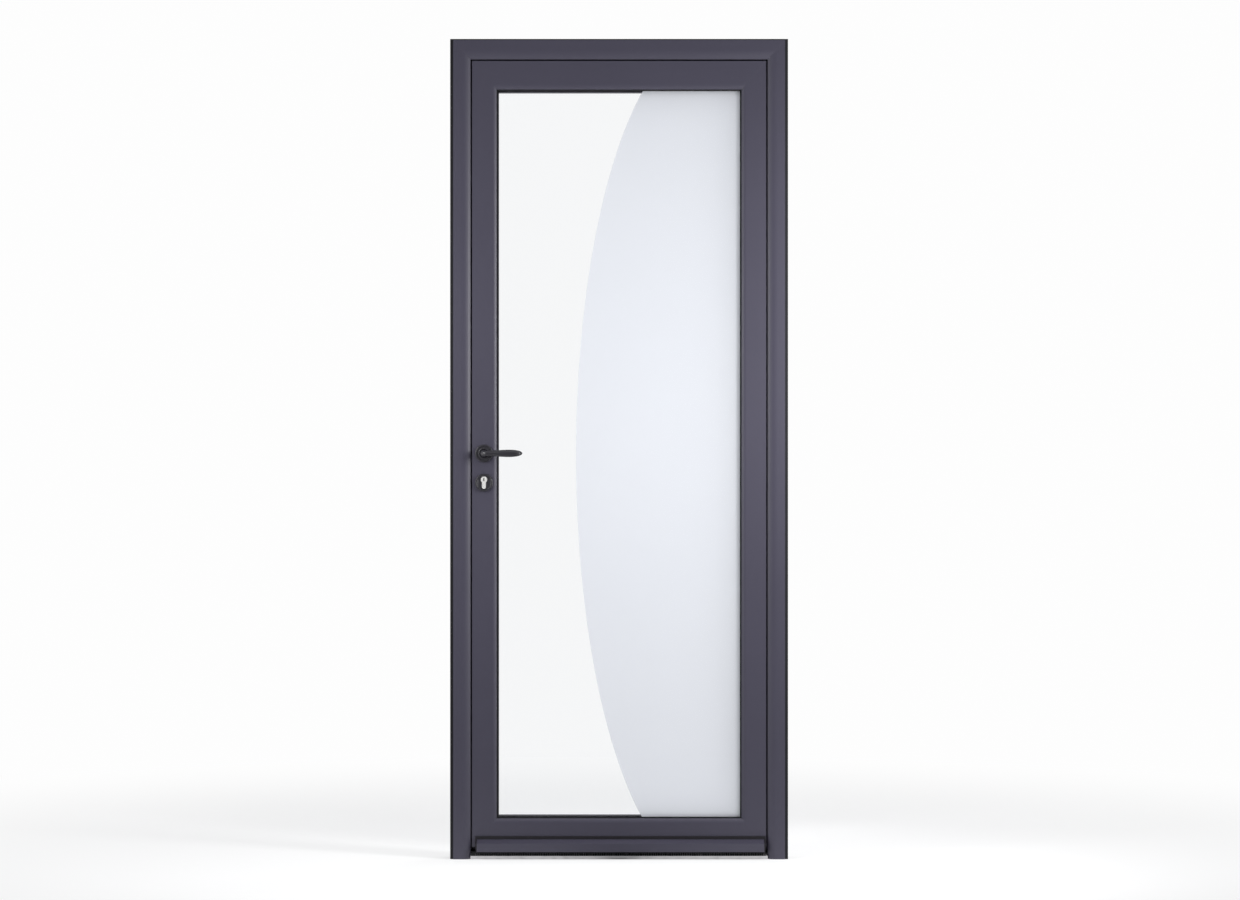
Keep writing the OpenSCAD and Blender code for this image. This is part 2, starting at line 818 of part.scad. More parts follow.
module inner_glazing_gasket() color(black)
    glass_ring(sight - gasket_w, rail_sight - gasket_w, gasket_w, pane_back, bead_front);

module pane(y0, y1) through(y0, y1) leaf_window(glass_inset, rail_glass_inset);

module outer_pane() color(glass_colour) pane(pane_front, gas_front);

module inner_pane() color(glass_colour) pane(gas_back, pane_back);

module edge_sealant() color(black)
    glass_ring(glass_inset, rail_glass_inset, sealant_w, gas_front, gas_back);

module spacer_frame() color(polyamide)
    glass_ring(glass_inset + sealant_w, rail_glass_inset + sealant_w, spacer_w,
        gas_front, gas_back);

module bead_section(u0, u1)
    hollow(
        [[u0, bead_front], [u1, bead_front], [u1, leaf_back], [u0, leaf_back]],
        [[u0 + bead_wall, bead_front + bead_wall], [u1 - bead_wall, bead_front + bead_wall],
         [u1 - bead_wall, leaf_back - bead_wall], [u0 + bead_wall, leaf_back - bead_wall]]
    );

module glazing_beads() color(coated) {
    rail_floor = rail_inset(glass_rebate);
    span = half_w - glass_rebate;
    along_top(-span, span) bead_section(rail_floor, rail_sight);
    translate([0, 0, -leaf_lift]) along_bottom(-span, span)
        bead_section(rail_floor, rail_sight);
    for (side = [0, 1]) mirror([side, 0, 0])
        up_left(rail_sight - leaf_lift + bead_play, frame_h - rail_sight - bead_play)
            bead_section(glass_rebate, sight);
}

// Plastic blocks that carry and centre the glass in the rebate
block_len = 100;
block_end = 150;
module setting_blocks() color(polyamide) {
    y0 = pane_front + 0.5;
    y1 = pane_back - 0.5;
    low = rail_inset(glass_rebate) - leaf_lift;
    high = frame_h - rail_inset(glass_rebate);
    for (side = [0, 1]) mirror([side, 0, 0]) {
        lock_block(block_end, block_end + block_len, y0, y1, low, low + glass_edge_gap);
        lock_block(block_end, block_end + block_len, y0, y1, high - glass_edge_gap, high);
        for (z = [low + block_len, high - 2 * block_len])
            lock_block(glass_rebate, glass_inset, y0, y1, z, z + block_len);
    }
}

// ---- Lock -------------------------------------------------------------------------

// Slots for the latch, the deadbolt and the hooks, from inset u0 to u1
module lock_openings(u0, u1, clear) {
    y0 = lock_y - bolt_half - clear;
    y1 = lock_y + bolt_half + clear;
    lock_block(u0, u1, y0, y1, latch_low - clear, latch_high + clear);
    lock_block(u0, u1, y0, y1, deadbolt_low - clear, deadbolt_high + clear);
    for (z = hook_heights)
        lock_block(u0, u1, lock_y - hook_t - clear, lock_y + hook_t + clear,
            z - hook_half - 2, z + hook_len + 3);
}

module lock_faceplate() color(steel)
    difference() {
        lock_block(inner_edge, plate_inner, lock_y - plate_half, lock_y + plate_half,
            plate_bottom, plate_top);
        lock_openings(inner_edge - over, plate_inner + over, play);
        faceplate_screws(screw_hole_r, 0);
        faceplate_screws(screw_seat_r, -screw_head_t);
        cylinder_screw(screw_hole_r, 0);
        cylinder_screw(screw_seat_r, -screw_head_t);
    }

// A hollow box behind the faceplate, open towards the bolts
module case_box(z0, z1, right)
    difference() {
        lock_block(case_left, right, lock_y - case_half, lock_y + case_half, z0, z1);
        lock_block(case_left + case_t, right - case_t, lock_y - case_half + case_t,
            lock_y + case_half - case_t, z0 + case_t, z1 - case_t);
        lock_openings(case_left - over, case_left + case_t + over, play);
        rod_slot(z0 - over, z0 + case_t + over);
        rod_slot(z1 - case_t - over, z1 + over);
    }

module rod_slot(z0, z1)
    lock_block(rod_left - play, rod_left + rod_t + play, lock_y - rod_half,
        lock_y + rod_half, z0, z1);

module lock_case() color(steel)
    difference() {
        case_box(case_bottom, case_top, case_right);
        through(lock_y - case_half - over, lock_y + case_half + over, spindle_x, handle_h)
            circle(r = follower_r + fit);
        through(lock_y - case_half - over, lock_y + case_half + over, spindle_x, cylinder_h)
            cylinder_outline(play);
        // Room for the cam, where its circle reaches the case's back wall
        through(lock_y - cam_half - play, lock_y + cam_half + play, spindle_x, cylinder_h)
            circle(r = cam_sweep + fit);
        cylinder_screw(screw_hole_r, 0);
    }

module hook_cases() color(steel)
    for (z = hook_heights) {
        case_box(z - hook_case_low, z + hook_case_high, hook_case_right);
        through(lock_y - case_half + case_t, lock_y + case_half - case_t,
            -half_w + hook_inset, z) circle(r = hook_pin_r);
    }

module hook(z) color(steel)
    through(lock_y - hook_t, lock_y + hook_t, -half_w + hook_inset, z) difference() {
        union() {
            circle(r = hook_ring_r);
            translate([-hook_half, 0]) square([2 * hook_half, hook_len]);
            translate([-hook_half, hook_len - hook_nose]) square([hook_half + hook_claw, hook_nose]);
        }
        circle(r = hook_pin_r + fit);
    }

module lower_hook() hook(lower_hook_h);

module upper_hook() hook(upper_hook_h);

// Flat rods behind the faceplate, from the lock's case into each hook's case
module drive_rods() color(steel) {
    y0 = lock_y - rod_half + play;
    y1 = lock_y + rod_half - play;
    lock_block(rod_left, rod_left + rod_t, y0, y1, lower_hook_h + hook_len + 10,
        case_bottom + 5);
    lock_block(rod_left, rod_left + rod_t, y0, y1, latch_high + 4,
        upper_hook_h - hook_case_low + 8);
}

module latch_bolt() color(steel) {
    tip = inner_edge - latch_throw;
    y0 = lock_y - bolt_half;
    y1 = lock_y + bolt_half;
    plate = 3;
    translate([-half_w, 0, latch_low]) linear_extrude(latch_high - latch_low) polygon([
        [tip, y1], [tip, y1 - 3.5], [inner_edge, y0],
        [inner_edge + latch_body, y0], [inner_edge + latch_body, y1]
    ]);
    for (y = [y0 + 0.5, y1 - 0.5 - plate])
        block([-half_w + inner_edge + latch_body - over, y, tail_low],
            [stop_x + stop_w, y + plate, tail_high]);
    block([stop_x, y0 + 0.5, tail_low], [stop_x + stop_w, y1 - 0.5, tail_high]);
}

module deadbolt() color(steel)
    lock_block(inner_edge + 0.5, inner_edge + deadbolt_len, lock_y - bolt_half,
        lock_y + bolt_half, deadbolt_low, deadbolt_high);

// Follower: a hub on the spindle with an arm that draws the latch
module follower() color(steel)
    difference() {
        union() {
            through(lock_y - case_half + 0.2, lock_y + case_half - 0.2, spindle_x, handle_h)
                circle(r = follower_r);
            through(lock_y - 2, lock_y + 2, spindle_x, handle_h) rotate(arm_lean)
                translate([-arm_half, 0]) square([2 * arm_half, arm_len]);
        }
        through(lock_y - 2 * case_half, lock_y + 2 * case_half, spindle_x, handle_h)
            square(spindle_side + 2 * fit, center = true);
    }

module spindle() color(steel)
    through(leaf_front - spindle_end, leaf_back + spindle_end, spindle_x, handle_h)
        square(spindle_side, center = true);

// ---- Key cylinder -----------------------------------------------------------------

module cylinder_outline(clear) {
    circle(r = cyl_r + clear);
    translate([-stem_half - clear, stem_half - stem_low])
        square([2 * (stem_half + clear), stem_low - stem_half]);
    translate([0, stem_half - stem_low]) circle(r = stem_half + clear);
}

module cylinder_body() color(nickel)
    difference() {
        through(cyl_front, cyl_back, spindle_x, cylinder_h) cylinder_outline(0);
        through(cyl_front - over, cyl_back + over, spindle_x, cylinder_h)
            circle(r = plug_r + fit);
        through(lock_y - cam_half - 0.4, lock_y + cam_half + 0.4, spindle_x, cylinder_h)
            circle(r = cam_sweep + play);
        cylinder_screw(screw_hole_r, 0);
    }

// A plug with its key slot cut from the outer end
module plug(y0, y1, slot_y0, slot_y1) color(nickel)
    difference() {
        through(y0, y1, spindle_x, cylinder_h) circle(r = plug_r);
        through(slot_y0, slot_y1, spindle_x, cylinder_h)
            square([key_slot_w, key_slot_h], center = true);
    }

module outer_plug()
    plug(cyl_front, lock_y - cam_half - 0.3, cyl_front - over, cyl_front + key_slot_d);

module inner_plug()
    plug(lock_y + cam_half + 0.3, cyl_back, cyl_back - key_slot_d, cyl_back + over);

module cam() color(steel)
    through(lock_y - cam_half, lock_y + cam_half, spindle_x, cylinder_h) {
        circle(r = cam_r);
        translate([-cam_lug_half, -cam_reach]) square([2 * cam_lug_half, cam_reach]);
    }

// ---- Handles ----------------------------------------------------------------------

// Put a piece of the outer handle on the inside as well
module inside()
    translate([0, leaf_front + leaf_back, 0]) mirror([0, 1, 0]) children();

// A turned disc on the leaf's outer face, rounded at its rim
module disc(x, z)
    translate([x, leaf_front, z]) rotate([90, 0, 0]) rotate_extrude() polygon([
        [0, 0], [rose_r, 0], [rose_r, rose_t - rim], [rose_r - rim / 3, rose_t - rim / 3],
        [rose_r - rim, rose_t], [rose_r - groove_at, rose_t],
        [rose_r - groove_at - groove_half, rose_t - groove_half],
        [rose_r - groove_at - 2 * groove_half, rose_t], [0, rose_t]
    ]);

module rose()
    difference() {
        disc(spindle_x, handle_h);
        through(leaf_front - rose_t - over, leaf_front + over, spindle_x, handle_h)
            circle(r = neck_r + fit);
    }

module roses() color(black) {
    rose();
    inside() rose();
}

module escutcheon()
    difference() {
        disc(spindle_x, cylinder_h - escutcheon_drop);
        through(leaf_front - rose_t - over, leaf_front + over, spindle_x, cylinder_h)
            cylinder_outline(0.3);
    }

module escutcheons() color(black) {
    escutcheon();
    inside() escutcheon();
}

module blob(x, y, radii)
    translate([x, y, handle_h]) scale(radii) sphere(r = 1, $fn = 32);

// A neck that turns in the rose, and a flattened grip that points to the hinges
module lever() color(black)
    difference() {
        union() {
            through(grip_y, leaf_front - 0.5, spindle_x, handle_h) circle(r = neck_r);
            hull() {
                blob(spindle_x, grip_y, [10, 7.5, 9.6]);
                blob(grip_tip_x - 30, grip_y - 1, [14, 6.2, 9.8]);
                blob(grip_tip_x - 9, grip_y - 1, [9, 5.4, 8.4]);
            }
        }
        through(leaf_front - spindle_end - 0.3, leaf_front, spindle_x, handle_h)
            square(spindle_side + 2 * fit, center = true);
    }

module outer_lever() lever();

module inner_lever() inside() lever();

// ---- Hinges -----------------------------------------------------------------------

module upright(x, y, z0, z1, r) translate([x, y, z0]) cylinder(h = z1 - z0, r = r);

barrel_half = 1.5 * knuckle_l + knuckle_gap;

module hinge_frame_leaves() color(coated)
    difference() {
        for (z = hinge_heights) {
            low = z - knuckle_l / 2;
            high = z + knuckle_l / 2;
            upright(hinge_x, hinge_y, low, high, barrel_r);
            web_x = hinge_x + barrel_r - hinge_web_bite;
            plate_x = hinge_x + barrel_r + hinge_plate_gap;
            block([web_x, frame_back, low], [web_x + hinge_web_w, hinge_y, high]);
            block([plate_x, frame_back, z - barrel_half],
                [plate_x + hinge_plate_w, frame_back + frame_leaf_t, z + barrel_half]);
        }
        for (z = hinge_heights)
            upright(hinge_x, hinge_y, z - barrel_half, z + barrel_half, hinge_pin_r);
        frame_leaf_screws(screw_hole_r, 0);
    }

module hinge_sash_leaves() color(coated)
    difference() {
        for (z = hinge_heights) {
            for (s = [-1, 1]) {
                near = z + s * (knuckle_l / 2 + knuckle_gap);
                far = z + s * barrel_half;
                low = min(near, far);
                high = max(near, far);
                upright(hinge_x, hinge_y, low, high, barrel_r);
                block([hinge_x - sash_web_far - over, leaf_back, low],
                    [hinge_x - sash_web_near, leaf_back + leaf_t, high]);
            }
            block([hinge_x - sash_web_near - hinge_leaf_w, leaf_back, z - barrel_half],
                [hinge_x - sash_web_far, leaf_back + leaf_t, z + barrel_half]);
        }
        for (z = hinge_heights)
            upright(hinge_x, hinge_y, z - barrel_half - over, z + barrel_half + over,
                hinge_pin_r + fit);
        sash_leaf_screws(screw_hole_r, 0);
    }

module hinge_pins() color(coated)
    for (z = hinge_heights) {
        low = z - barrel_half - pin_gap;
        high = z + barrel_half + pin_gap;
        upright(hinge_x, hinge_y, low, high, hinge_pin_r);
        upright(hinge_x, hinge_y, high, high + pin_cap_t, pin_cap_r);
        upright(hinge_x, hinge_y, low - pin_cap_t, low, pin_cap_r);
    }

// ---- Screws: one rule for the screws and for the holes that they go through --------

// A shank from the seat into the material, and its head when head_t is over 0; a
// negative head_t leaves only the head's own seat
module screw(r, head_t, length = screw_len)
    if (head_t >= 0) {
        translate([0, 0, -length]) cylinder(h = length + (head_t == 0 ? over : 0), r = r);
        if (head_t > 0) cylinder(h = head_t, r = screw_head_r);
    } else
        translate([0, 0, head_t]) cylinder(h = over - head_t, r = r);

module frame_leaf_screws(r, head_t)
    for (z = hinge_heights, s = [-1, 1])
        translate([hinge_x + barrel_r + frame_leaf_screw_out, frame_back + frame_leaf_t,
            z + s * hinge_screw_rise]) rotate([-90, 0, 0]) screw(r, head_t);

module sash_leaf_screws(r, head_t)
    for (z = hinge_heights, s = [-1, 1])
        translate([hinge_x - sash_leaf_screw_out, leaf_back + leaf_t,
            z + s * hinge_screw_rise]) rotate([-90, 0, 0]) screw(r, head_t);

module strike_screws(r, head_t)
    for (z = strike_screw_heights)
        translate([-half_w + rebate_inset + strike_t, lock_y, z]) rotate([0, 90, 0])
            screw(r, head_t);

// A head that is sunk flush lies its own thickness behind the face
function sunk(head_t) = max(head_t, 0);

module faceplate_screws(r, head_t)
    for (z = plate_screw_heights)
        translate([-half_w + inner_edge + sunk(head_t), lock_y, z]) rotate([0, -90, 0])
            screw(r, head_t, edge_wall - sunk(head_t));

module cylinder_screw(r, head_t)
    translate([-half_w + inner_edge + sunk(head_t), lock_y,
        cylinder_h - stem_low + cylinder_screw_rise]) rotate([0, -90, 0])
            screw(r, head_t,
                spindle_inset - inner_edge + cylinder_screw_bite - 2 * sunk(head_t));

module base_screws(r, head_t)
    for (x = [bar_left + base_screw_end, 0, bar_right - base_screw_end])
        translate([x, bar_back + sunk(head_t), bar_bottom + bar_h / 2])
            rotate([90, 0, 0]) screw(r, head_t);

module strike_plates() color(steel)
    difference() {
        union() {
            lock_block(rebate_inset, rebate_inset + strike_t, lock_y - strike_half,
                frame_back, latch_strike_low, latch_strike_low + strike_len);
            for (z = hook_heights)
                lock_block(rebate_inset, rebate_inset + strike_t, lock_y - strike_half,
                    frame_back, z - hook_strike_low, z + hook_strike_high);
        }
        lock_openings(rebate_inset - over, rebate_inset + strike_t + over, play);
        strike_screws(screw_hole_r, 0);
        strike_screws(screw_seat_r, -strike_t + strike_seat);
    }

module frame_screws() color(steel) {
    frame_leaf_screws(screw_r, screw_head_t);
    translate([strike_seat - strike_t, 0, 0]) strike_screws(screw_r, strike_t - strike_seat);
}

module sash_screws() color(steel) {
    sash_leaf_screws(screw_r, screw_head_t);
    faceplate_screws(screw_r, screw_head_t);
    cylinder_screw(screw_r, screw_head_t);
    base_screws(screw_r, base_head_t);
}

left_jamb_outer();
left_jamb_inner();
right_jamb_outer();
right_jamb_inner();
head_outer();
head_inner();
frame_thermal_breaks();
frame_corner_cleats();
threshold_outer();
threshold_inner();
threshold_end_blocks();
threshold_brush();
central_gasket();
wall_seal_strips();
strike_plates();
frame_screws();
hinge_frame_leaves();
hinge_pins();
lock_stile_outer();
lock_stile_inner();
hinge_stile_outer();
hinge_stile_inner();
top_rail_outer();
top_rail_inner();
bottom_rail_outer();
bottom_rail_inner();
sash_thermal_breaks();
sash_corner_cleats();
weather_bar();
weather_bar_base();
weather_bar_caps();
outer_glazing_gasket();
outer_pane();
spacer_frame();
edge_sealant();
inner_pane();
inner_glazing_gasket();
glazing_beads();
setting_blocks();
inner_lip_seal();
lock_faceplate();
lock_case();
hook_cases();
cylinder_body();
roses();
escutcheons();
hinge_sash_leaves();
sash_screws();
outer_lever();
inner_lever();
spindle();
follower();
latch_bolt();
deadbolt();
upper_hook();
lower_hook();
drive_rods();
cam();
outer_plug();
inner_plug();
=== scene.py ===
# %% [markdown]
# # A glass entrance door in its frame
#
# The door leaf, its frame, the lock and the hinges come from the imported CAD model, which
# stays as it is. This script gives every part its finish, shapes the pieces that a hand
# touches or that CAD can only block out, and sets up the light and the camera. All sizes are
# in metres. X runs to the right, Z runs up, and the outside of the door faces -Y.

import math

import bpy
import numpy as np
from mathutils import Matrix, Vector


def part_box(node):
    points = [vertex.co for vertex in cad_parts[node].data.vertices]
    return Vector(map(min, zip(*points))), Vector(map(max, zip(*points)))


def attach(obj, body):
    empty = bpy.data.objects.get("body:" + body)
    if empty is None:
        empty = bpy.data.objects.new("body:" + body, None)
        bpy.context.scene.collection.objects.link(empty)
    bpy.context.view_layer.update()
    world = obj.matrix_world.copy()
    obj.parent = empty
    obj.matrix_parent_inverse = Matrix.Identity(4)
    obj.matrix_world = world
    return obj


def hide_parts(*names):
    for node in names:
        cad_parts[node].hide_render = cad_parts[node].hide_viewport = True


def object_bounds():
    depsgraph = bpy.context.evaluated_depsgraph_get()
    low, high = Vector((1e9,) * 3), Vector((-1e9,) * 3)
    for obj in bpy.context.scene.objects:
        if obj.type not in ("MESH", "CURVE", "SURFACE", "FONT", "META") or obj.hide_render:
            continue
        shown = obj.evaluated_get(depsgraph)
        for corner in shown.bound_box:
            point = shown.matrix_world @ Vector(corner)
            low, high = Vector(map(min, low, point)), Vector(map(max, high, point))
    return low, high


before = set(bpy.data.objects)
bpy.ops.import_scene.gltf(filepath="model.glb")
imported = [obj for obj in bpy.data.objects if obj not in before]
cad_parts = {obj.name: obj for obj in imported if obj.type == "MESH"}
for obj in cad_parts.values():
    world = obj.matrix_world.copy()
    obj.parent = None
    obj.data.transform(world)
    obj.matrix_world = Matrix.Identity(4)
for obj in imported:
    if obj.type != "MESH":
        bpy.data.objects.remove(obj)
cad_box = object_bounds()
scene = bpy.context.scene
mm = 0.001

print("CAD nodes:", len(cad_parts))
print("door size:", [round(b - a, 4) for a, b in zip(*cad_box)])

# %% [markdown]
# ## Camera
#
# A door is drawn and sold straight on, so that its stiles stay upright and its rails level.
# A wide lens close by would show the sides of the frame and bend the proportions. A long lens
# from nine metres away does neither. The focal length follows from how wide a strip the image
# has to hold at the face of the frame.

# %% Camera
camera_distance = 9.0
framed_width = 3.302
camera_height = 1.090
camera_shift = 0.0024
frame_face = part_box("left_jamb_outer")[0][1]

camera_data = bpy.data.cameras.new("camera")
camera_data.sensor_width = 36
camera_data.lens = camera_data.sensor_width * camera_distance / framed_width
camera = bpy.data.objects.new("camera", camera_data)
camera.location = (camera_shift, frame_face - camera_distance, camera_height)
camera.rotation_euler = (math.pi / 2, 0, 0)
scene.collection.objects.link(camera)
scene.camera = camera

print("focal length in millimetres:", round(camera_data.lens, 1))

# %% [markdown]
# ## A small language for shaders
#
# Shader arithmetic is hard to read as a chain of boxes. Here a socket can stand in a Python
# sum: `1 - mask` or `0.4 + 0.1 * grain` adds the Math nodes that it needs. Numbers alone are
# worked out by Python. Every other node comes from one method, which sets the node's options
# first and then fills or links its sockets.


# %% Sockets that can be added and multiplied
class Socket:
    """A number coming out of a shader node. Each operator adds one Math node."""

    def __init__(self, finish, plug):
        self.finish, self.plug = finish, plug

    def maths(self, operation, *others):
        values = dict(enumerate([self, *others]))
        return self.finish.node("Math", {"operation": operation}, values)

    def __add__(self, other):
        return self.maths("ADD", other)

    def __mul__(self, other):
        return self.maths("MULTIPLY", other)

    def __sub__(self, other):
        return self.maths("SUBTRACT", other)

    def __rsub__(self, other):
        return self.finish.node("Math", {"operation": "SUBTRACT"}, {0: other, 1: self})

    def __pow__(self, other):
        return self.maths("POWER", other)

    __radd__, __rmul__ = __add__, __mul__

    def between(self, low, high):
        """0 below low, 1 above high, and a smooth step from one to the other."""
        settings = {"interpolation_type": "SMOOTHSTEP"}
        return self.finish.node("MapRange", settings, {0: self, 1: low, 2: high})


class Finish:
    """A material that is being built."""

    def __init__(self, name, world=False):
        self.made = bpy.data.worlds.new(name) if world else bpy.data.materials.new(name)
        self.made.use_nodes = True
        self.tree = self.made.node_tree
        self.tree.nodes.clear()
        self.output = "OutputWorld" if world else "OutputMaterial"

    def node(self, kind, settings=None, values=None, output=0):
        """Adds a shader node, sets its options, then its sockets, and returns one output."""
        made = self.tree.nodes.new("ShaderNode" + kind)
        for option, value in (settings or {}).items():
            setattr(made, option, value)
        for key, value in (values or {}).items():
            if isinstance(value, Socket):
                self.tree.links.new(value.plug, made.inputs[key])
            else:
                made.inputs[key].default_value = value
        return Socket(self, made.outputs[output])

    def place(self):
        """Where a point is on the object, in metres."""
        return self.node("TexCoord", output="Object")

    def parts(self, vector):
        """The three parts of a vector, as numbers."""
        split = self.node("SeparateXYZ", None, {0: vector}).plug.node
        return [Socket(self, plug) for plug in split.outputs]

    def stretched(self, stretch):
        """The place with each axis stretched by its own factor."""
        return self.node("Mapping", None, {"Vector": self.place(), "Scale": stretch})

    def noise(self, size, place=None, detail=2.0):
        """Soft random grain whose patches are about `size` metres across."""
        values = {"Vector": place or self.place(), "Scale": 1 / size, "Detail": detail}
        return self.node("TexNoise", None, values)

    def colour(self, mask, dark, light):
        """The dark colour where the mask is 0 and the light one where it is 1."""
        settings = {"data_type": "RGBA"}
        values = {0: mask, 6: (*dark, 1), 7: (*light, 1)}
        return self.node("Mix", settings, values, output=2)

    def bump(self, height, depth, strength=1.0, soft_edge=0.0):
        """A normal tilted by a height map that is `depth` metres deep at 1."""
        values = {"Height": height, "Distance": depth, "Strength": strength}
        if soft_edge:
            values["Normal"] = self.node("Bevel", {"samples": 4}, {"Radius": soft_edge})
        return self.node("Bump", None, values)

    def principled(self, **values):
        named = {key.replace("_", " "): value for key, value in values.items()}
        return self.node("BsdfPrincipled", None, named)

    def mix(self, mask, first, second):
        return self.node("MixShader", None, {0: mask, 1: first, 2: second})

    def done(self, shader):
        surface = self.tree.nodes.new("ShaderNode" + self.output).inputs["Surface"]
        self.tree.links.new(shader.plug, surface)
        return self.made


def shade(colour, factor):
    """A colour made darker or lighter by a factor."""
    return tuple(c * factor for c in colour)


# %% [markdown]
# ## Light and floor
#
# A product like this stands in a white room: light comes from large white surfaces at both
# sides and above, and the side where the camera stands is darker. That is why the flat faces
# of the profiles stay dark while their bevels, which turn to the sides, shine. A world whose
# brightness depends on the direction does this without any noise. A tall soft panel on each
# side adds the streaks along the bevels and on the lever, and the middle of the door, which
# is further from both, stays darker. A panel overhead lights the sloping top of the bar.
#
# The floor takes a soft shadow near the threshold. Further out it turns into the room: there
# it is as bright as the room is in the same direction, so no horizon cuts through the glass
# or through what the glass mirrors. A panel behind the door lights the blasted glass.

# %% White room
scene.view_settings.view_transform = "Standard"
room_white = (0.985, 0.985, 0.985)
front_light, side_light, top_light, back_light = 0.10, 1.45, 0.34, 0.44


def room_glow(finish, direction):
    """How bright the room is in a direction: a base level, more towards both sides, where it
    grows with the cube of |x|, more overhead and more behind the door."""
    across, deep, up = finish.parts(direction)
    return (
        front_light
        + side_light * across.maths("ABSOLUTE") ** 3
        + top_light * up.maths("MAXIMUM", 0.0)
        + back_light * deep.maths("MAXIMUM", 0.0)
    )


room = Finish("white_room", world=True)
glow = room_glow(room, room.node("TexCoord", output="Generated"))
lighting = room.node("Background", None, {"Color": (0.97, 0.98, 1, 1), "Strength": glow})
seen = room.node("Background", None, {"Color": (*room_white, 1)})
camera_ray = room.node("LightPath", output="Is Camera Ray")
scene.world = room.done(room.mix(camera_ray, lighting, seen))


def soft_panel(name, place, aim, width, height, power, mirrored=True):
    """A large flat lamp at `place` that faces `aim` and doesn't show itself. Only a mirrored
    one shows in what shines."""
    data = bpy.data.lights.new(name, "AREA")
    data.shape, data.size, data.size_y, data.energy = "RECTANGLE", width, height, power
    lamp = bpy.data.objects.new(name, data)
    lamp.location = place
    heading = [a - p for a, p in zip(aim, place)]
    lamp.rotation_euler = Vector(heading).to_track_quat("-Z", "Y").to_euler()
    lamp.visible_camera = lamp.visible_transmission = False
    lamp.visible_glossy = mirrored
    scene.collection.objects.link(lamp)


middle = [(a + b) / 2 for a, b in zip(*cad_box)]
soft_panel("left_panel", (-1.2, -0.9, 1.4), middle, width=0.4, height=0.8, power=12.6)
soft_panel("right_panel", (1.2, -0.9, 1.4), middle, width=0.4, height=0.8, power=27)
soft_panel("top_panel", (0, -1.6, 4.0), middle, width=2.4, height=0.8, power=11)
soft_panel("back_panel", (0.4, 1.0, 1.12), middle, 0.4, 0.8, power=5.0, mirrored=False)

# %% Floor
floor_radius = 30.0
shadow_near, shadow_far = 0.7, 3.0
floor_glow = 0.5


def disc(radius, sides):
    """Points at equal angles on a circle of the given radius, at the height of the sill."""
    angle = np.linspace(0, 2 * np.pi, sides, endpoint=False)
    return np.stack([radius * np.cos(angle), radius * np.sin(angle), 0 * angle], 1)


paint = Finish("pale_floor")
distance = paint.node("VectorMath", {"operation": "LENGTH"}, {0: paint.place()}, "Value")
outward = paint.node("VectorMath", {"operation": "NORMALIZE"}, {0: paint.place()})
grain = paint.noise(0.6)
floor_colour = paint.colour(grain, (0.86, 0.86, 0.86), (0.89, 0.89, 0.89))
matt = paint.principled(Base_Color=floor_colour, Roughness=0.9)
lit_far = paint.node("Emission", None, {"Strength": room_glow(paint, outward)})
seen_far = paint.node("Emission", None, {"Color": (*room_white, 1)})
white = paint.mix(paint.node("LightPath", output="Is Camera Ray"), lit_far, seen_far)
floor_mesh = bpy.data.meshes.new("floor")
floor_mesh.from_pydata(disc(floor_radius, 96).tolist(), [], [list(range(96))])
fading = floor_glow + (1 - floor_glow) * distance.between(shadow_near, shadow_far)
floor_mesh.materials.append(paint.done(paint.mix(fading, matt, white)))
floor = bpy.data.objects.new("floor", floor_mesh)
scene.collection.objects.link(floor)

print("floor radius:", floor_radius)

# %% [markdown]
# ## Powder coat
#
# The profiles are aluminium, sprayed with anthracite powder and baked. The powder melts into
# a satin skin with a faint orange peel, about a millimetre from hill to hill and a few
# hundredths deep. It could be a flat colour with a fixed roughness, but then long faces look
# like paper. Two grains are used: a fine one for the orange peel, and a slow one, half a metre
# long, that changes the tint and the gloss a little, as handling and cleaning do. A bevel
# normal rounds the edges of the extrusion by half a millimetre, so that they catch the light.


# %% Powder coat
def powder_coat(name, tint, roughness, peel=0.02 * mm, edge=0.6 * mm):
    coat = Finish(name)
    peel_grain = coat.noise(1.3 * mm)
    cloud = coat.noise(0.45, detail=4)
    dust = coat.noise(12 * mm, detail=5)
    return coat.done(
        coat.principled(
            Base_Color=coat.colour(0.75 * cloud + 0.25 * dust, shade(tint, 0.88), shade(tint, 1.14)),
            Roughness=roughness - 0.05 + 0.07 * cloud + 0.05 * dust,
            Specular_IOR_Level=0.45,
            Normal=coat.bump(peel_grain, peel, soft_edge=edge),
        )
    )


anthracite = (0.043, 0.040, 0.061)
finishes = {
    "coated_aluminium": powder_coat("anthracite_powder_coat", anthracite, 0.46),
    "hinge_coating": powder_coat("anthracite_hinge_coat", anthracite, 0.40, edge=0.4 * mm),
}
print("powder coats:", [f.name for f in finishes.values()])

# %% [markdown]
# ## Bare aluminium
#
# The threshold and the corner cleats are left as they leave the press. The die draws fine
# lines along the length of a profile, here along X. They are noise squeezed hard across the
# profile and hardly at all along it. Shoes scuff the threshold, so patches of it are a little
# duller and darker.


# %% Bare aluminium
def drawn_metal(name, tint, roughness, line, along, scuffs=0.0, line_depth=0.01 * mm):
    """Metal with fine lines along one axis: noise that is 400 times longer than it is wide."""
    metal = Finish(name)
    stretch = [1, 1, 1]
    stretch["XYZ".index(along)] = 1 / 400
    lines = metal.noise(line, metal.stretched(stretch), detail=3)
    patches = metal.noise(30 * mm, detail=6).between(0.45, 0.75)
    mask = 0.6 * lines + 0.4 * (1 - patches)
    return metal.done(
        metal.principled(
            Base_Color=metal.colour(mask, shade(tint, 0.86 - scuffs), shade(tint, 1.06)),
            Roughness=roughness - 0.08 + 0.14 * lines + scuffs * patches,
            Metallic=1.0,
            Normal=metal.bump(lines, line_depth, soft_edge=0.3 * mm),
        )
    )


finishes["bare_aluminium"] = drawn_metal(
    "press_finish_aluminium", (0.62, 0.61, 0.63), 0.42, 0.5 * mm, "X", scuffs=0.12
)
print("bare aluminium lines along X")

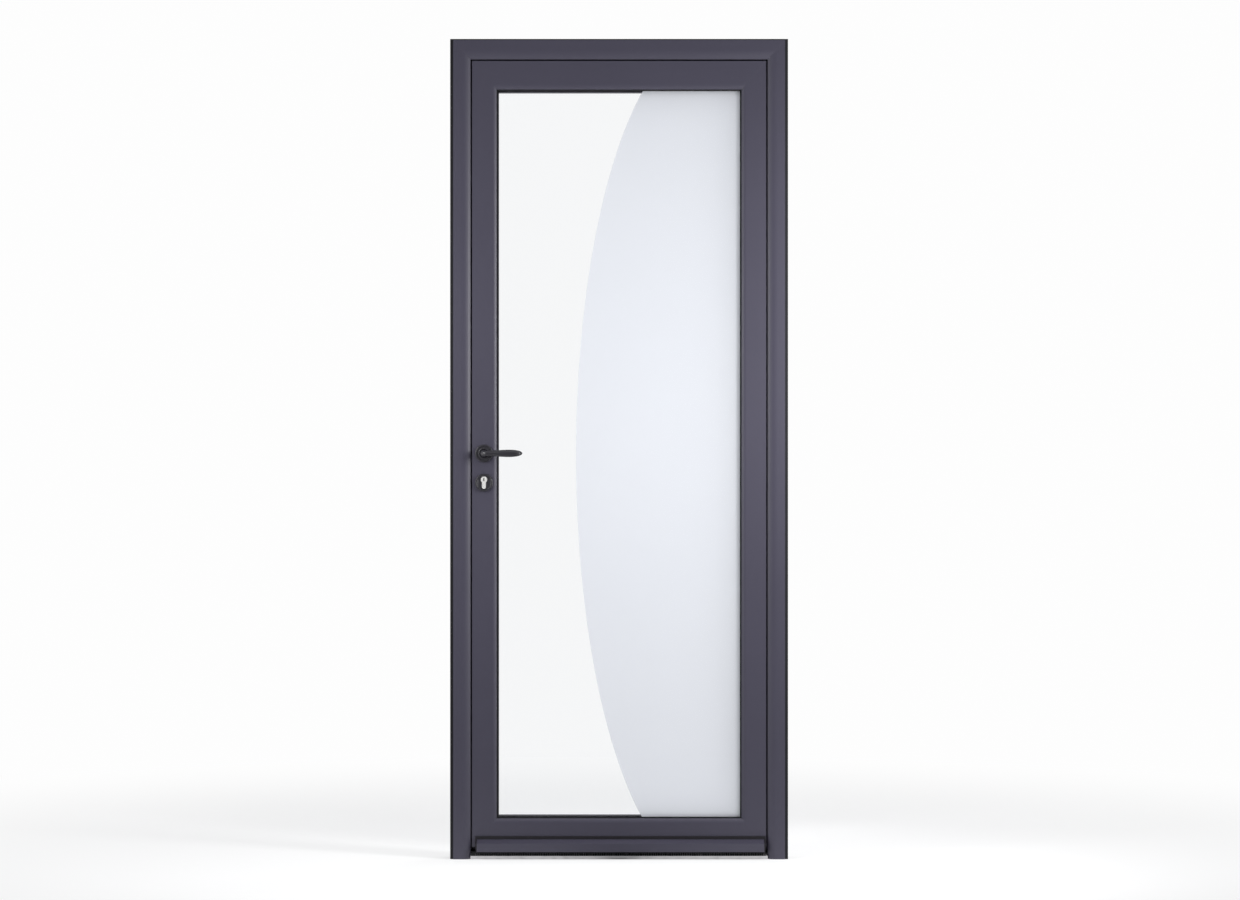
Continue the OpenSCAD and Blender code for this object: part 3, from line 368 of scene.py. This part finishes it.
# %% [markdown]
# ## Lock steel, screws and nickel
#
# The faceplate, the strike plates, the bolts and the rods are brushed stainless steel. The
# belt runs along the length of the door, so the lines stand upright. Screws are zinc plated:
# a cool metal with a faint mottle. The key cylinder is brass with satin nickel: its face is
# turned, so its lines are rings round the plug.

# %% Lock steel, screws and nickel
finishes["lock_steel"] = drawn_metal(
    "brushed_stainless_steel", (0.55, 0.56, 0.58), 0.34, 0.35 * mm, "Z"
)


def zinc_plate(name, tint):
    zinc = Finish(name)
    mottle = zinc.noise(1.5 * mm, detail=4)
    return zinc.done(
        zinc.principled(
            Base_Color=zinc.colour(mottle, shade(tint, 0.85), shade(tint, 1.1)),
            Roughness=0.28 + 0.14 * mottle,
            Metallic=1.0,
            Normal=zinc.bump(mottle, 0.01 * mm),
        )
    )


def turned_nickel(name, tint, axis_x, axis_z):
    """Satin nickel with fine turned rings round an axis along Y, and painted shade in the keyway:
    the key slot is painted near black to stand in for the shadow inside it, and is made rough and not
    metal."""
    nickel = Finish(name)
    x, _, z = nickel.parts(nickel.place())
    radius = ((x - axis_x) ** 2 + (z - axis_z) ** 2) ** 0.5
    rings = (radius * (2 * math.pi / (0.5 * mm))).maths("SINE") * 0.5 + 0.5
    cloud = nickel.noise(4 * mm, detail=4)
    # Painted keyway shade: the colour turns near black inside the outline of the key slot, standing in for
    # its shadow.
    beside = (x - axis_x).maths("ABSOLUTE").maths("LESS_THAN", keyway_wide / 2 + 0.1 * mm)
    above = (z - axis_z).maths("ABSOLUTE").maths("LESS_THAN", keyway_high / 2 + 0.1 * mm)
    keyway = beside * above
    plated = nickel.colour(0.5 * rings + 0.5 * cloud, shade(tint, 0.94), shade(tint, 1.05))
    plated_with_keyway_shade = nickel.node("Mix", {"data_type": "RGBA"}, {0: keyway, 6: plated, 7: keyway_shade_colour}, 2)
    return nickel.done(
        nickel.principled(
            Base_Color=plated_with_keyway_shade,
            Roughness=0.42 + 0.07 * rings + 0.08 * cloud + 0.3 * keyway,
            Metallic=1 - keyway,
            Normal=nickel.bump(rings, 0.006 * mm, soft_edge=0.25 * mm),
        )
    )


keyway_wide, keyway_high = 2.4 * mm, 8.5 * mm
# Near-black colour painted into the key slot as its shade.
keyway_shade_colour = (0.012, 0.011, 0.010, 1)
plug_low, plug_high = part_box("outer_plug")
plug_x = (plug_low[0] + plug_high[0]) / 2
plug_z = (plug_low[2] + plug_high[2]) / 2
finishes["screw_steel"] = zinc_plate("zinc_plated_screw", (0.50, 0.52, 0.56))
finishes["nickel"] = turned_nickel("satin_nickel", (0.95, 0.94, 0.92), plug_x, plug_z)
print("turned rings round", round(plug_x, 4), round(plug_z, 4))

# %% [markdown]
# ## Plastics, rubber and pile
#
# Polyamide bars part the outer shells from the inner ones. Their glass fibres show as short
# pale flecks. The caps and blocks are black plastic from a spark-eroded mould, with an even
# leather-fine grain. The seals are extruded rubber: dull, nearly black, and a bit greyer
# where dust stays on them. All of these are one recipe with other numbers: a dark base, a
# grain in the bump, and a slow change of gloss.


# %% Plastics, rubber and pile
def dark_polymer(name, tint, roughness, grain_size, grain_depth, dust=0.2, sheen=0.0):
    """A dark matt surface with fine grain, and dust that lightens it in slow patches."""
    body = Finish(name)
    grain = body.noise(grain_size, detail=3)
    patches = body.noise(60 * mm, detail=5)
    light = shade(tint, 1 + 2 * dust)
    return body.done(
        body.principled(
            Base_Color=body.colour(0.5 * grain + 0.5 * patches, shade(tint, 0.85), light),
            Roughness=roughness - 0.06 + 0.08 * patches + 0.04 * grain,
            Specular_IOR_Level=0.3,
            Sheen_Weight=sheen,
            Normal=body.bump(grain, grain_depth, soft_edge=0.2 * mm),
        )
    )


grey, black = (0.03, 0.03, 0.034), (0.009, 0.008, 0.011)
rubber, pile = (0.006, 0.006, 0.008), (0.012, 0.012, 0.014)
polymers = {
    "polyamide": dark_polymer("fibre_polyamide", grey, 0.62, 0.7 * mm, 0.02 * mm, 0.5),
    "black_plastic": dark_polymer("grained_black_plastic", black, 0.5, 0.5 * mm, 0.03 * mm),
    "seal_rubber": dark_polymer("extruded_rubber", rubber, 0.7, 0.9 * mm, 0.02 * mm, 0.4),
    "brush_pile": dark_polymer("brush_fibre", pile, 0.6, 0.6 * mm, 0.01 * mm, 0.8, 0.2),
}
finishes.update(polymers)
print("dark polymers:", len(polymers))

# %% [markdown]
# ## Matt black handle coat
#
# The lever, the rose and the escutcheon are cast zinc with a black textured lacquer. It is
# darker and smoother than the powder coat, so a soft streak of light runs along the lever.


# %% Matt black handle coat
def black_lacquer(name, tint):
    lacquer = Finish(name)
    texture = lacquer.noise(0.45 * mm, detail=2)
    hand = lacquer.noise(25 * mm, detail=4)
    return lacquer.done(
        lacquer.principled(
            Base_Color=lacquer.colour(hand, shade(tint, 0.85), shade(tint, 1.2)),
            Roughness=0.34 + 0.10 * hand + 0.04 * texture,
            Coat_Weight=0.15,
            Coat_Roughness=0.3,
            Normal=lacquer.bump(texture, 0.012 * mm, soft_edge=0.4 * mm),
        )
    )


finishes["matte_black"] = black_lacquer("matt_black_lacquer", (0.0135, 0.0125, 0.017))
print("handle lacquer made")

# %% [markdown]
# ## Glass
#
# The unit is two panes of float glass. Clear glass mirrors a little, more at a slant, and
# lets the rest through with a faint tint. Refraction would cost many bounces and change
# nothing for flat panes, so a transparent shader and a mirror are mixed by Fresnel.
#
# The outer pane is sandblasted on its inner face, to the right of a long arc. The arc is
# part of an ellipse that is much taller than the door. Its edge comes from a formula in x and
# z, so it is sharp at any distance. Blasted glass scatters most of the light from behind
# forward and some of it evenly, and sends a little back. So it is a mix of a very rough
# refraction, a translucent surface and a matt white one.

# %% Clear glass
mirror_roughness = 0.01
glass_index = 1.42


def clear_face(glass, tint):
    """One face of float glass: a mirror by Fresnel, and the view behind for the rest. A ray
    that leaves the pane isn't mirrored, because here it isn't bent when it enters."""
    leaving = glass.node("NewGeometry", output="Backfacing")
    mirrored = glass.node("Fresnel", None, {"IOR": glass_index}) * (1 - leaving)
    through = glass.node("BsdfTransparent", None, {"Color": (*tint, 1)})
    mirror = glass.node("BsdfGlossy", None, {"Color": (1, 1, 1, 1), "Roughness": mirror_roughness})
    return glass.mix(mirrored, through, mirror)


face_tint = (0.996, 0.998, 1.0)
pane = Finish("float_glass")
smear = pane.noise(0.12, detail=4).between(0.55, 0.85)
film = pane.principled(Base_Color=(0.8, 0.8, 0.8, 1), Roughness=0.5)
finishes["clear_glass"] = pane.done(pane.mix(0.006 * smear, clear_face(pane, face_tint), film))
print("clear glass made")

# %% Frosted glass
arc_x, arc_z = 0.231, 1.077
arc_half_wide, arc_half_high = 0.346, 1.110
blast_edge = 0.0015
pane_low, pane_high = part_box("outer_pane")
pane_middle = (pane_low[1] + pane_high[1]) / 2

frost = Finish("sandblasted_glass")
x, y, z = frost.parts(frost.place())
reach = (((x - arc_x) * (1 / arc_half_wide)) ** 2 + ((z - arc_z) * (1 / arc_half_high)) ** 2) ** 0.5
in_arc = 1 - reach.between(1 - blast_edge, 1 + blast_edge)
blasted = in_arc.maths("MAXIMUM", x.between(arc_x, arc_x + mm))
inner_face = y.maths("GREATER_THAN", pane_middle)
speckle = frost.noise(0.8 * mm, detail=3)
cloud = frost.noise(0.5, detail=2)
frost_tone = 0.5 * speckle + 0.5 * cloud
blast_colour = frost.colour(frost_tone, (0.845, 0.865, 0.92), (0.92, 0.935, 0.97))
blast_normal = frost.bump(speckle, 0.02 * mm)
even = frost.node("BsdfTranslucent", None, {"Color": blast_colour, "Normal": blast_normal})
blur = {"Color": blast_colour, "Normal": blast_normal, "Roughness": 0.8, "IOR": 1.12}
forward = frost.node("BsdfRefraction", None, blur)
scattered = frost.mix(0.35, even, forward)
matt_white = frost.principled(Base_Color=blast_colour, Roughness=0.6, Normal=blast_normal)
blast_face = frost.mix(0.2, scattered, matt_white)
finishes["frosted_glass"] = frost.done(
    frost.mix(blasted * inner_face, clear_face(frost, face_tint), blast_face)
)
print("blasted to the right of x =", round(arc_x - arc_half_wide, 3), "at z =", arc_z)

# %% [markdown]
# ## Finishes on the CAD parts
#
# Each CAD node already names the finish that it is made in. Its object's material slot gets
# the new material, and its mesh stays untouched.

# %% Finishes on the CAD parts
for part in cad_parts.values():
    for slot in part.material_slots:
        slot.material = finishes[slot.material.name.split(".")[0]]
print("finished CAD nodes:", len(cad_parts))

# %% [markdown]
# ## Surfaces from grids
#
# The new pieces are surfaces of two parameters: one runs along the piece, the other round
# it. The points come from formulas on whole arrays, and one function joins them to faces,
# closes the ends and turns all faces outwards.


# %% Surfaces from grids
def grid_faces(rows, columns):
    """Four-sided faces of a grid whose last column joins its first."""
    corner = np.arange(rows * columns).reshape(rows, columns)
    beside = np.roll(corner, -1, axis=1)
    return np.stack([corner[:-1], beside[:-1], beside[1:], corner[1:]], -1).reshape(-1, 4)


def signed_volume(points, quads):
    """A sixth of the sum of each triangle's triple product: positive when faces point out."""
    a, b, c, d = (points[quads[:, k]] for k in range(4))
    halves = np.cross(a, b) * c + np.cross(a, c) * d
    return halves.sum() / 6


def piece(name, points, quads, body, slot, replaced, smooth=True):
    """Makes a finished piece that rides on a body and stands for CAD nodes."""
    if signed_volume(points, quads) < 0:
        quads = quads[:, ::-1]
    mesh = bpy.data.meshes.new(name)
    mesh.from_pydata(points.tolist(), [], quads.tolist())
    mesh.polygons.foreach_set("use_smooth", np.full(len(quads), smooth))
    mesh.materials.append(finishes[slot])
    made = bpy.data.objects.new(name, mesh)
    scene.collection.objects.link(made)
    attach(made, body)
    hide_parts(*replaced)
    print(name, "faces:", len(quads), "volume in cm3:", round(abs(signed_volume(points, quads)) * 1e6, 1))
    return made


weld_reach = 0.001 * mm


def smooth_step(value, low, high):
    """0 up to low, 1 from high, and an S-curve between them."""
    t = np.clip((value - low) / (high - low), 0, 1)
    return t * t * (3 - 2 * t)


# %% [markdown]
# ## Levers
#
# A hand feels the lever first, so it has no flat spot: a round neck turns by a quarter
# circle into a grip that swells towards its end and closes in a long rounded tip. It could be
# cut from cylinders, but an oval carried along a bent line gives the real shape in one
# surface. The sizes of the oval are functions of the place along the line.

# %% Levers
neck_radius = 9.5 * mm
bend_radius = 9.0 * mm
grip_depth = 7.5 * mm
grip_root_high = 7.3 * mm
grip_root_deep = 6.6 * mm
swell_at = 0.66
tip_least = 0.01 * mm
spindle_low, spindle_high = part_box("spindle")
spindle_x = (spindle_low[0] + spindle_high[0]) / 2
spindle_z = (spindle_low[2] + spindle_high[2]) / 2


def lever(name, node, outward):
    """An oval carried along a line that leaves the rose along Y, turns by a quarter circle and
    runs along X to the tip. Half the oval's height and half its depth start as the neck's
    radius, fall to the grip's root sizes round the bend, swell to their largest at swell_at
    of the grip, and end as the quarter of an ellipse."""
    low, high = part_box(node)
    root_y, far_y = (high[1], low[1]) if outward < 0 else (low[1], high[1])
    grip_out = abs(far_y - root_y) - grip_depth
    largest = (high[2] - low[2]) / 2
    neck = grip_out - bend_radius
    turn = bend_radius * np.pi / 2
    grip = high[0] - spindle_x - bend_radius
    along = (neck + turn + grip) * (1 - (1 - np.linspace(0, 1, 120)) ** 1.7)
    angle = np.clip((along - neck) / bend_radius, 0, np.pi / 2)
    run = np.clip(along - neck - turn, 0, grip)
    x = spindle_x + bend_radius * (1 - np.cos(angle)) + run
    out = np.clip(along, 0, neck) + bend_radius * np.sin(angle)
    bent = smooth_step(along, 0.8 * neck, neck + turn + 0.05 * grip)
    swell = smooth_step(run / grip, 0, swell_at)
    nose = np.clip((run / grip - swell_at) / (1 - swell_at), 0, 1)
    close = np.sqrt(np.clip(1 - nose**2, 0, 1))
    high_root, high_end = grip_root_high - neck_radius, largest - grip_root_high
    deep_root, deep_end = grip_root_deep - neck_radius, grip_depth - grip_root_deep
    half_high = (neck_radius + high_root * bent + high_end * swell) * close
    half_deep = (neck_radius + deep_root * bent + deep_end * swell) * close
    half_high, half_deep = np.maximum(half_high, tip_least), np.maximum(half_deep, tip_least)
    round_it = np.linspace(0, 2 * np.pi, 48, endpoint=False)
    reach, lift = np.cos(round_it), np.sin(round_it)
    px = x[:, None] - half_deep[:, None] * np.cos(angle)[:, None] * reach
    py = out[:, None] + half_deep[:, None] * np.sin(angle)[:, None] * reach
    pz = spindle_z + half_high[:, None] * lift
    points = np.stack([px, root_y + outward * py, pz], -1)
    return closed_rows(name, points, "levers", "matte_black", [node])


def closed_rows(name, rows, body, slot, replaced):
    """Closes a stack of rings with a ring of no size at each end."""
    ends = [np.repeat(rows[k].mean(0)[None, None], rows.shape[1], 1) for k in (0, -1)]
    stack = np.concatenate([ends[0], rows, ends[1]])
    made = piece(name, stack.reshape(-1, 3), grid_faces(*stack.shape[:2]), body, slot, replaced)
    made.modifiers.new("weld", "WELD").merge_threshold = weld_reach
    return made


lever("outer_lever_grip", "outer_lever", -1)
lever("inner_lever_grip", "inner_lever", 1)

# %% [markdown]
# ## Roses
#
# A rose hides the hole in the profile and carries the lever. It is turned: a flat disc with
# a rounded rim, a thin groove near it and a raised collar round the neck. A turned part is
# one outline, carried round an axis. The outline is a half superellipse, which is a flat top
# with round shoulders, and its height dips by a narrow bell curve at the groove.

# %% Roses
rose_low, rose_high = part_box("roses")
rose_radius = (rose_high[0] - rose_low[0]) / 2
rose_bore = 10.0 * mm
leaf_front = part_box("lock_stile_outer")[0][1]
leaf_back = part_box("lock_stile_inner")[1][1]
groove_at, groove_wide, groove_deep = 18.6 * mm, 0.55 * mm, 0.9 * mm
collar_at, collar_high = 13.5 * mm, 1.6 * mm
shoulder = 6.0


def rose_rings(face_y, outward, height):
    """Radius and height follow a half superellipse from the rim to the bore: middle radius
    plus half width times |cos|^(2/n), and height times |sin|^(2/n). The groove and the step
    from the collar down to the disc are taken off the height."""
    v = np.linspace(0, np.pi, 90)
    half_wide = (rose_radius - rose_bore) / 2
    radius = rose_bore + half_wide * (1 + np.sign(np.cos(v)) * np.abs(np.cos(v)) ** (2 / shoulder))
    top = height * np.abs(np.sin(v)) ** (2 / shoulder)
    groove = groove_deep * np.exp(-(((radius - groove_at) / groove_wide) ** 2))
    step = collar_high * smooth_step(radius, collar_at - 0.5 * mm, collar_at + 0.5 * mm)
    level = np.clip(top - (groove + step) * top / height, 0, height)
    turn = np.linspace(0, 2 * np.pi, 96, endpoint=False)
    px = spindle_x + radius[:, None] * np.cos(turn)
    pz = spindle_z + radius[:, None] * np.sin(turn)
    py = np.broadcast_to((face_y + outward * level)[:, None], px.shape)
    return np.stack([px, py, pz], -1)


def turned_ring(rings):
    """Points and faces of a ring whose last row joins its first, so that it has no ends."""
    rows, columns = rings.shape[:2]
    looped = np.concatenate([grid_faces(rows, columns), last_to_first(rows, columns)])
    points = rings.reshape(-1, 3)
    return points, looped if signed_volume(points, looped) > 0 else looped[:, ::-1]


def last_to_first(rows, columns):
    """The band of faces between the last row of a grid and its first."""
    edge = np.arange(columns)
    beside = np.roll(edge, -1)
    last = (rows - 1) * columns
    return np.stack([last + edge, last + beside, beside, edge], -1)


outer_ring = turned_ring(rose_rings(leaf_front, -1, leaf_front - rose_low[1]))
inner_ring = turned_ring(rose_rings(leaf_back, 1, rose_high[1] - leaf_back))
rose_points = np.concatenate([outer_ring[0], inner_ring[0]])
rose_faces = np.concatenate([outer_ring[1], inner_ring[1] + len(outer_ring[0])])
piece("turned_roses", rose_points, rose_faces, "leaf", "matte_black", ["roses"])

# %% [markdown]
# ## Escutcheons
#
# The disc round the key cylinder has the rose's rim and groove, but its hole has the
# cylinder's outline: a circle above a narrow stem. Seen from the middle of the disc, each
# direction meets that outline once, so the hole is a radius that depends on the angle. The
# same half superellipse then runs from that radius out to the rim.

# %% Escutcheons
disc_low, disc_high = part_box("escutcheons")
cylinder_low, cylinder_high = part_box("cylinder_body")
disc_z = (disc_low[2] + disc_high[2]) / 2
hole_play, stem_wide = 0.3 * mm, 10.0 * mm
head_radius = (cylinder_high[0] - cylinder_low[0]) / 2 + hole_play
head_z = cylinder_high[2] - (head_radius - hole_play) - disc_z
stem_half = stem_wide / 2 + hole_play
foot_z = cylinder_low[2] + (stem_half - hole_play) - disc_z


def to_circle(angle, centre_z, radius):
    """Distance from the origin to a circle on the Z axis, in each direction: the positive
    root of the quadratic for a ray that starts inside it."""
    along = centre_z * np.sin(angle)
    return along + np.sqrt(np.maximum(radius**2 - centre_z**2 + along**2, 0))


def keyhole_radius(angle):
    """The furthest of three distances: to the cylinder's round head, to the sides of its stem
    as far as they reach, and to the stem's round foot."""
    head = to_circle(angle, head_z, head_radius)
    side = stem_half / np.maximum(np.abs(np.cos(angle)), 1e-6)
    beside = (side * np.sin(angle) < head_z) & (side * np.sin(angle) > foot_z)
    offset = np.abs(foot_z * np.cos(angle))
    below = (np.sin(angle) < 0) & (offset < stem_half)
    foot = np.where(below, foot_z * np.sin(angle) + np.sqrt(np.maximum(stem_half**2 - offset**2, 0)), 0)
    return np.maximum(head, np.where(beside, side, foot))


def escutcheon_rings(face_y, outward, height):
    """The rose's outline, from the rim to a bore whose radius depends on the angle."""
    v = np.linspace(0, np.pi, 60)[:, None]
    turn = np.linspace(0, 2 * np.pi, 180, endpoint=False)[None]
    bore = keyhole_radius(turn)
    half_wide = (rose_radius - bore) / 2
    radius = bore + half_wide * (1 + np.sign(np.cos(v)) * np.abs(np.cos(v)) ** (2 / shoulder))
    top = height * np.abs(np.sin(v)) ** (2 / shoulder)
    groove = groove_deep * np.exp(-(((radius - groove_at) / groove_wide) ** 2))
    level = np.clip(top - groove * top / height, 0, height)
    px, pz = spindle_x + radius * np.cos(turn), disc_z + radius * np.sin(turn)
    return np.stack([px, face_y + outward * level, pz], -1)


turns = np.linspace(0, 2 * np.pi, 8, endpoint=False)
print("hole radius each 45 degrees, in mm:", (keyhole_radius(turns) / mm).round(1).tolist())

outer_disc = turned_ring(escutcheon_rings(leaf_front, -1, leaf_front - disc_low[1]))
inner_disc = turned_ring(escutcheon_rings(leaf_back, 1, disc_high[1] - leaf_back))
disc_points = np.concatenate([outer_disc[0], inner_disc[0]])
disc_faces = np.concatenate([outer_disc[1], inner_disc[1] + len(outer_disc[0])])
piece("key_escutcheons", disc_points, disc_faces, "leaf", "matte_black", ["escutcheons"])

# %% [markdown]
# ## Brush in the threshold
#
# A strip of bristles closes the gap under the leaf. The CAD node is a thin bar. Here it is a
# rounded backing strip with a few thousand bristles in it. Each bristle is a tapered
# four-sided stick with its own lean, length and place, drawn from a seeded generator, so
# every run gives the same brush. They stand in tufts, and the small gaps between the tufts
# break the dark strip into short dashes.

# %% Brush in the threshold
brush_low, brush_high = (np.array(corner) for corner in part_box("threshold_brush"))
bristle_count = 5200
tuft_pitch, tuft_wide = 6.0 * mm, 5.0 * mm
bristle_wide, bristle_tip = 0.30 * mm, 0.14 * mm
backing_high = 3.2 * mm
draw = np.random.default_rng(7)


def bristles(count):
    """Each stick has a square foot and a smaller square tip. The foot stands at a random
    place in its tuft, and the tip is shifted by the lean and lowered by a random part."""
    tufts = np.floor((brush_high[0] - brush_low[0] - 2 * mm) / tuft_pitch)
    tuft = draw.integers(0, int(tufts), count)
    foot_x = brush_low[0] + mm + tuft_pitch * (tuft + 0.5) + tuft_wide * (draw.random(count) - 0.5)
    middle_y = (brush_low[1] + brush_high[1]) / 2
    foot_y = middle_y + 1.6 * mm * (draw.random(count) - 0.5)
    lean_x = 0.5 * mm * draw.standard_normal(count).clip(-1.5, 1.5)
    lean_y = 0.9 * mm * (draw.random(count) - 0.5)
    tip_z = brush_high[2] - 1.4 * mm * draw.random(count) ** 2
    square = np.array([[-1, -1], [1, -1], [1, 1], [-1, 1]]) / 2
    foot = np.stack([foot_x, foot_y], -1)[:, None] + square * bristle_wide
    tip = np.stack([foot_x + lean_x, foot_y + lean_y], -1)[:, None] + square * bristle_tip
    foot_z = np.full((count, 4, 1), brush_low[2] + backing_high / 2)
    top_z = np.broadcast_to(tip_z[:, None, None], (count, 4, 1))
    points = np.stack([np.concatenate([foot, foot_z], -1), np.concatenate([tip, top_z], -1)], 1)
    around = np.array([[0, 1, 5, 4], [1, 2, 6, 5], [2, 3, 7, 6], [3, 0, 4, 7], [3, 2, 1, 0], [4, 5, 6, 7]])
    faces = around + 8 * np.arange(count)[:, None, None]
    return points.reshape(-1, 3), faces.reshape(-1, 4)


def backing():
    """A superellipse outline in Y and Z, carried along X and drawn in at both ends."""
    v = np.linspace(0, 2 * np.pi, 24, endpoint=False)
    length = brush_high[0] - brush_low[0]
    at = brush_low[0] + np.array([0, 0, 0.4 * mm, length - 0.4 * mm, length, length])
    size = np.array([0, 0.8, 1, 1, 0.8, 0])
    half_y = (brush_high[1] - brush_low[1]) / 2
    outline_y = half_y * np.sign(np.cos(v)) * np.abs(np.cos(v)) ** 0.5
    outline_z = backing_high / 2 * np.sign(np.sin(v)) * np.abs(np.sin(v)) ** 0.5
    px = np.broadcast_to(at[:, None], (6, 24))
    py = (brush_low[1] + brush_high[1]) / 2 + size[:, None] * outline_y
    pz = brush_low[2] + backing_high / 2 + size[:, None] * outline_z
    return np.stack([px, py, pz], -1).reshape(-1, 3), grid_faces(6, 24)


def facing_out(points, quads):
    """The same faces, turned over if they point inwards."""
    return points, quads if signed_volume(points, quads) > 0 else quads[:, ::-1]


stick_points, stick_faces = facing_out(*bristles(bristle_count))
strip_points, strip_faces = facing_out(*backing())
brush_points = np.concatenate([stick_points, strip_points])
brush_faces = np.concatenate([stick_faces, strip_faces + len(stick_points)])
bristle_brush = piece(
    "bristle_brush", brush_points, brush_faces, "frame", "brush_pile", ["threshold_brush"], smooth=False
)
bristle_brush.modifiers.new("weld", "WELD").merge_threshold = weld_reach
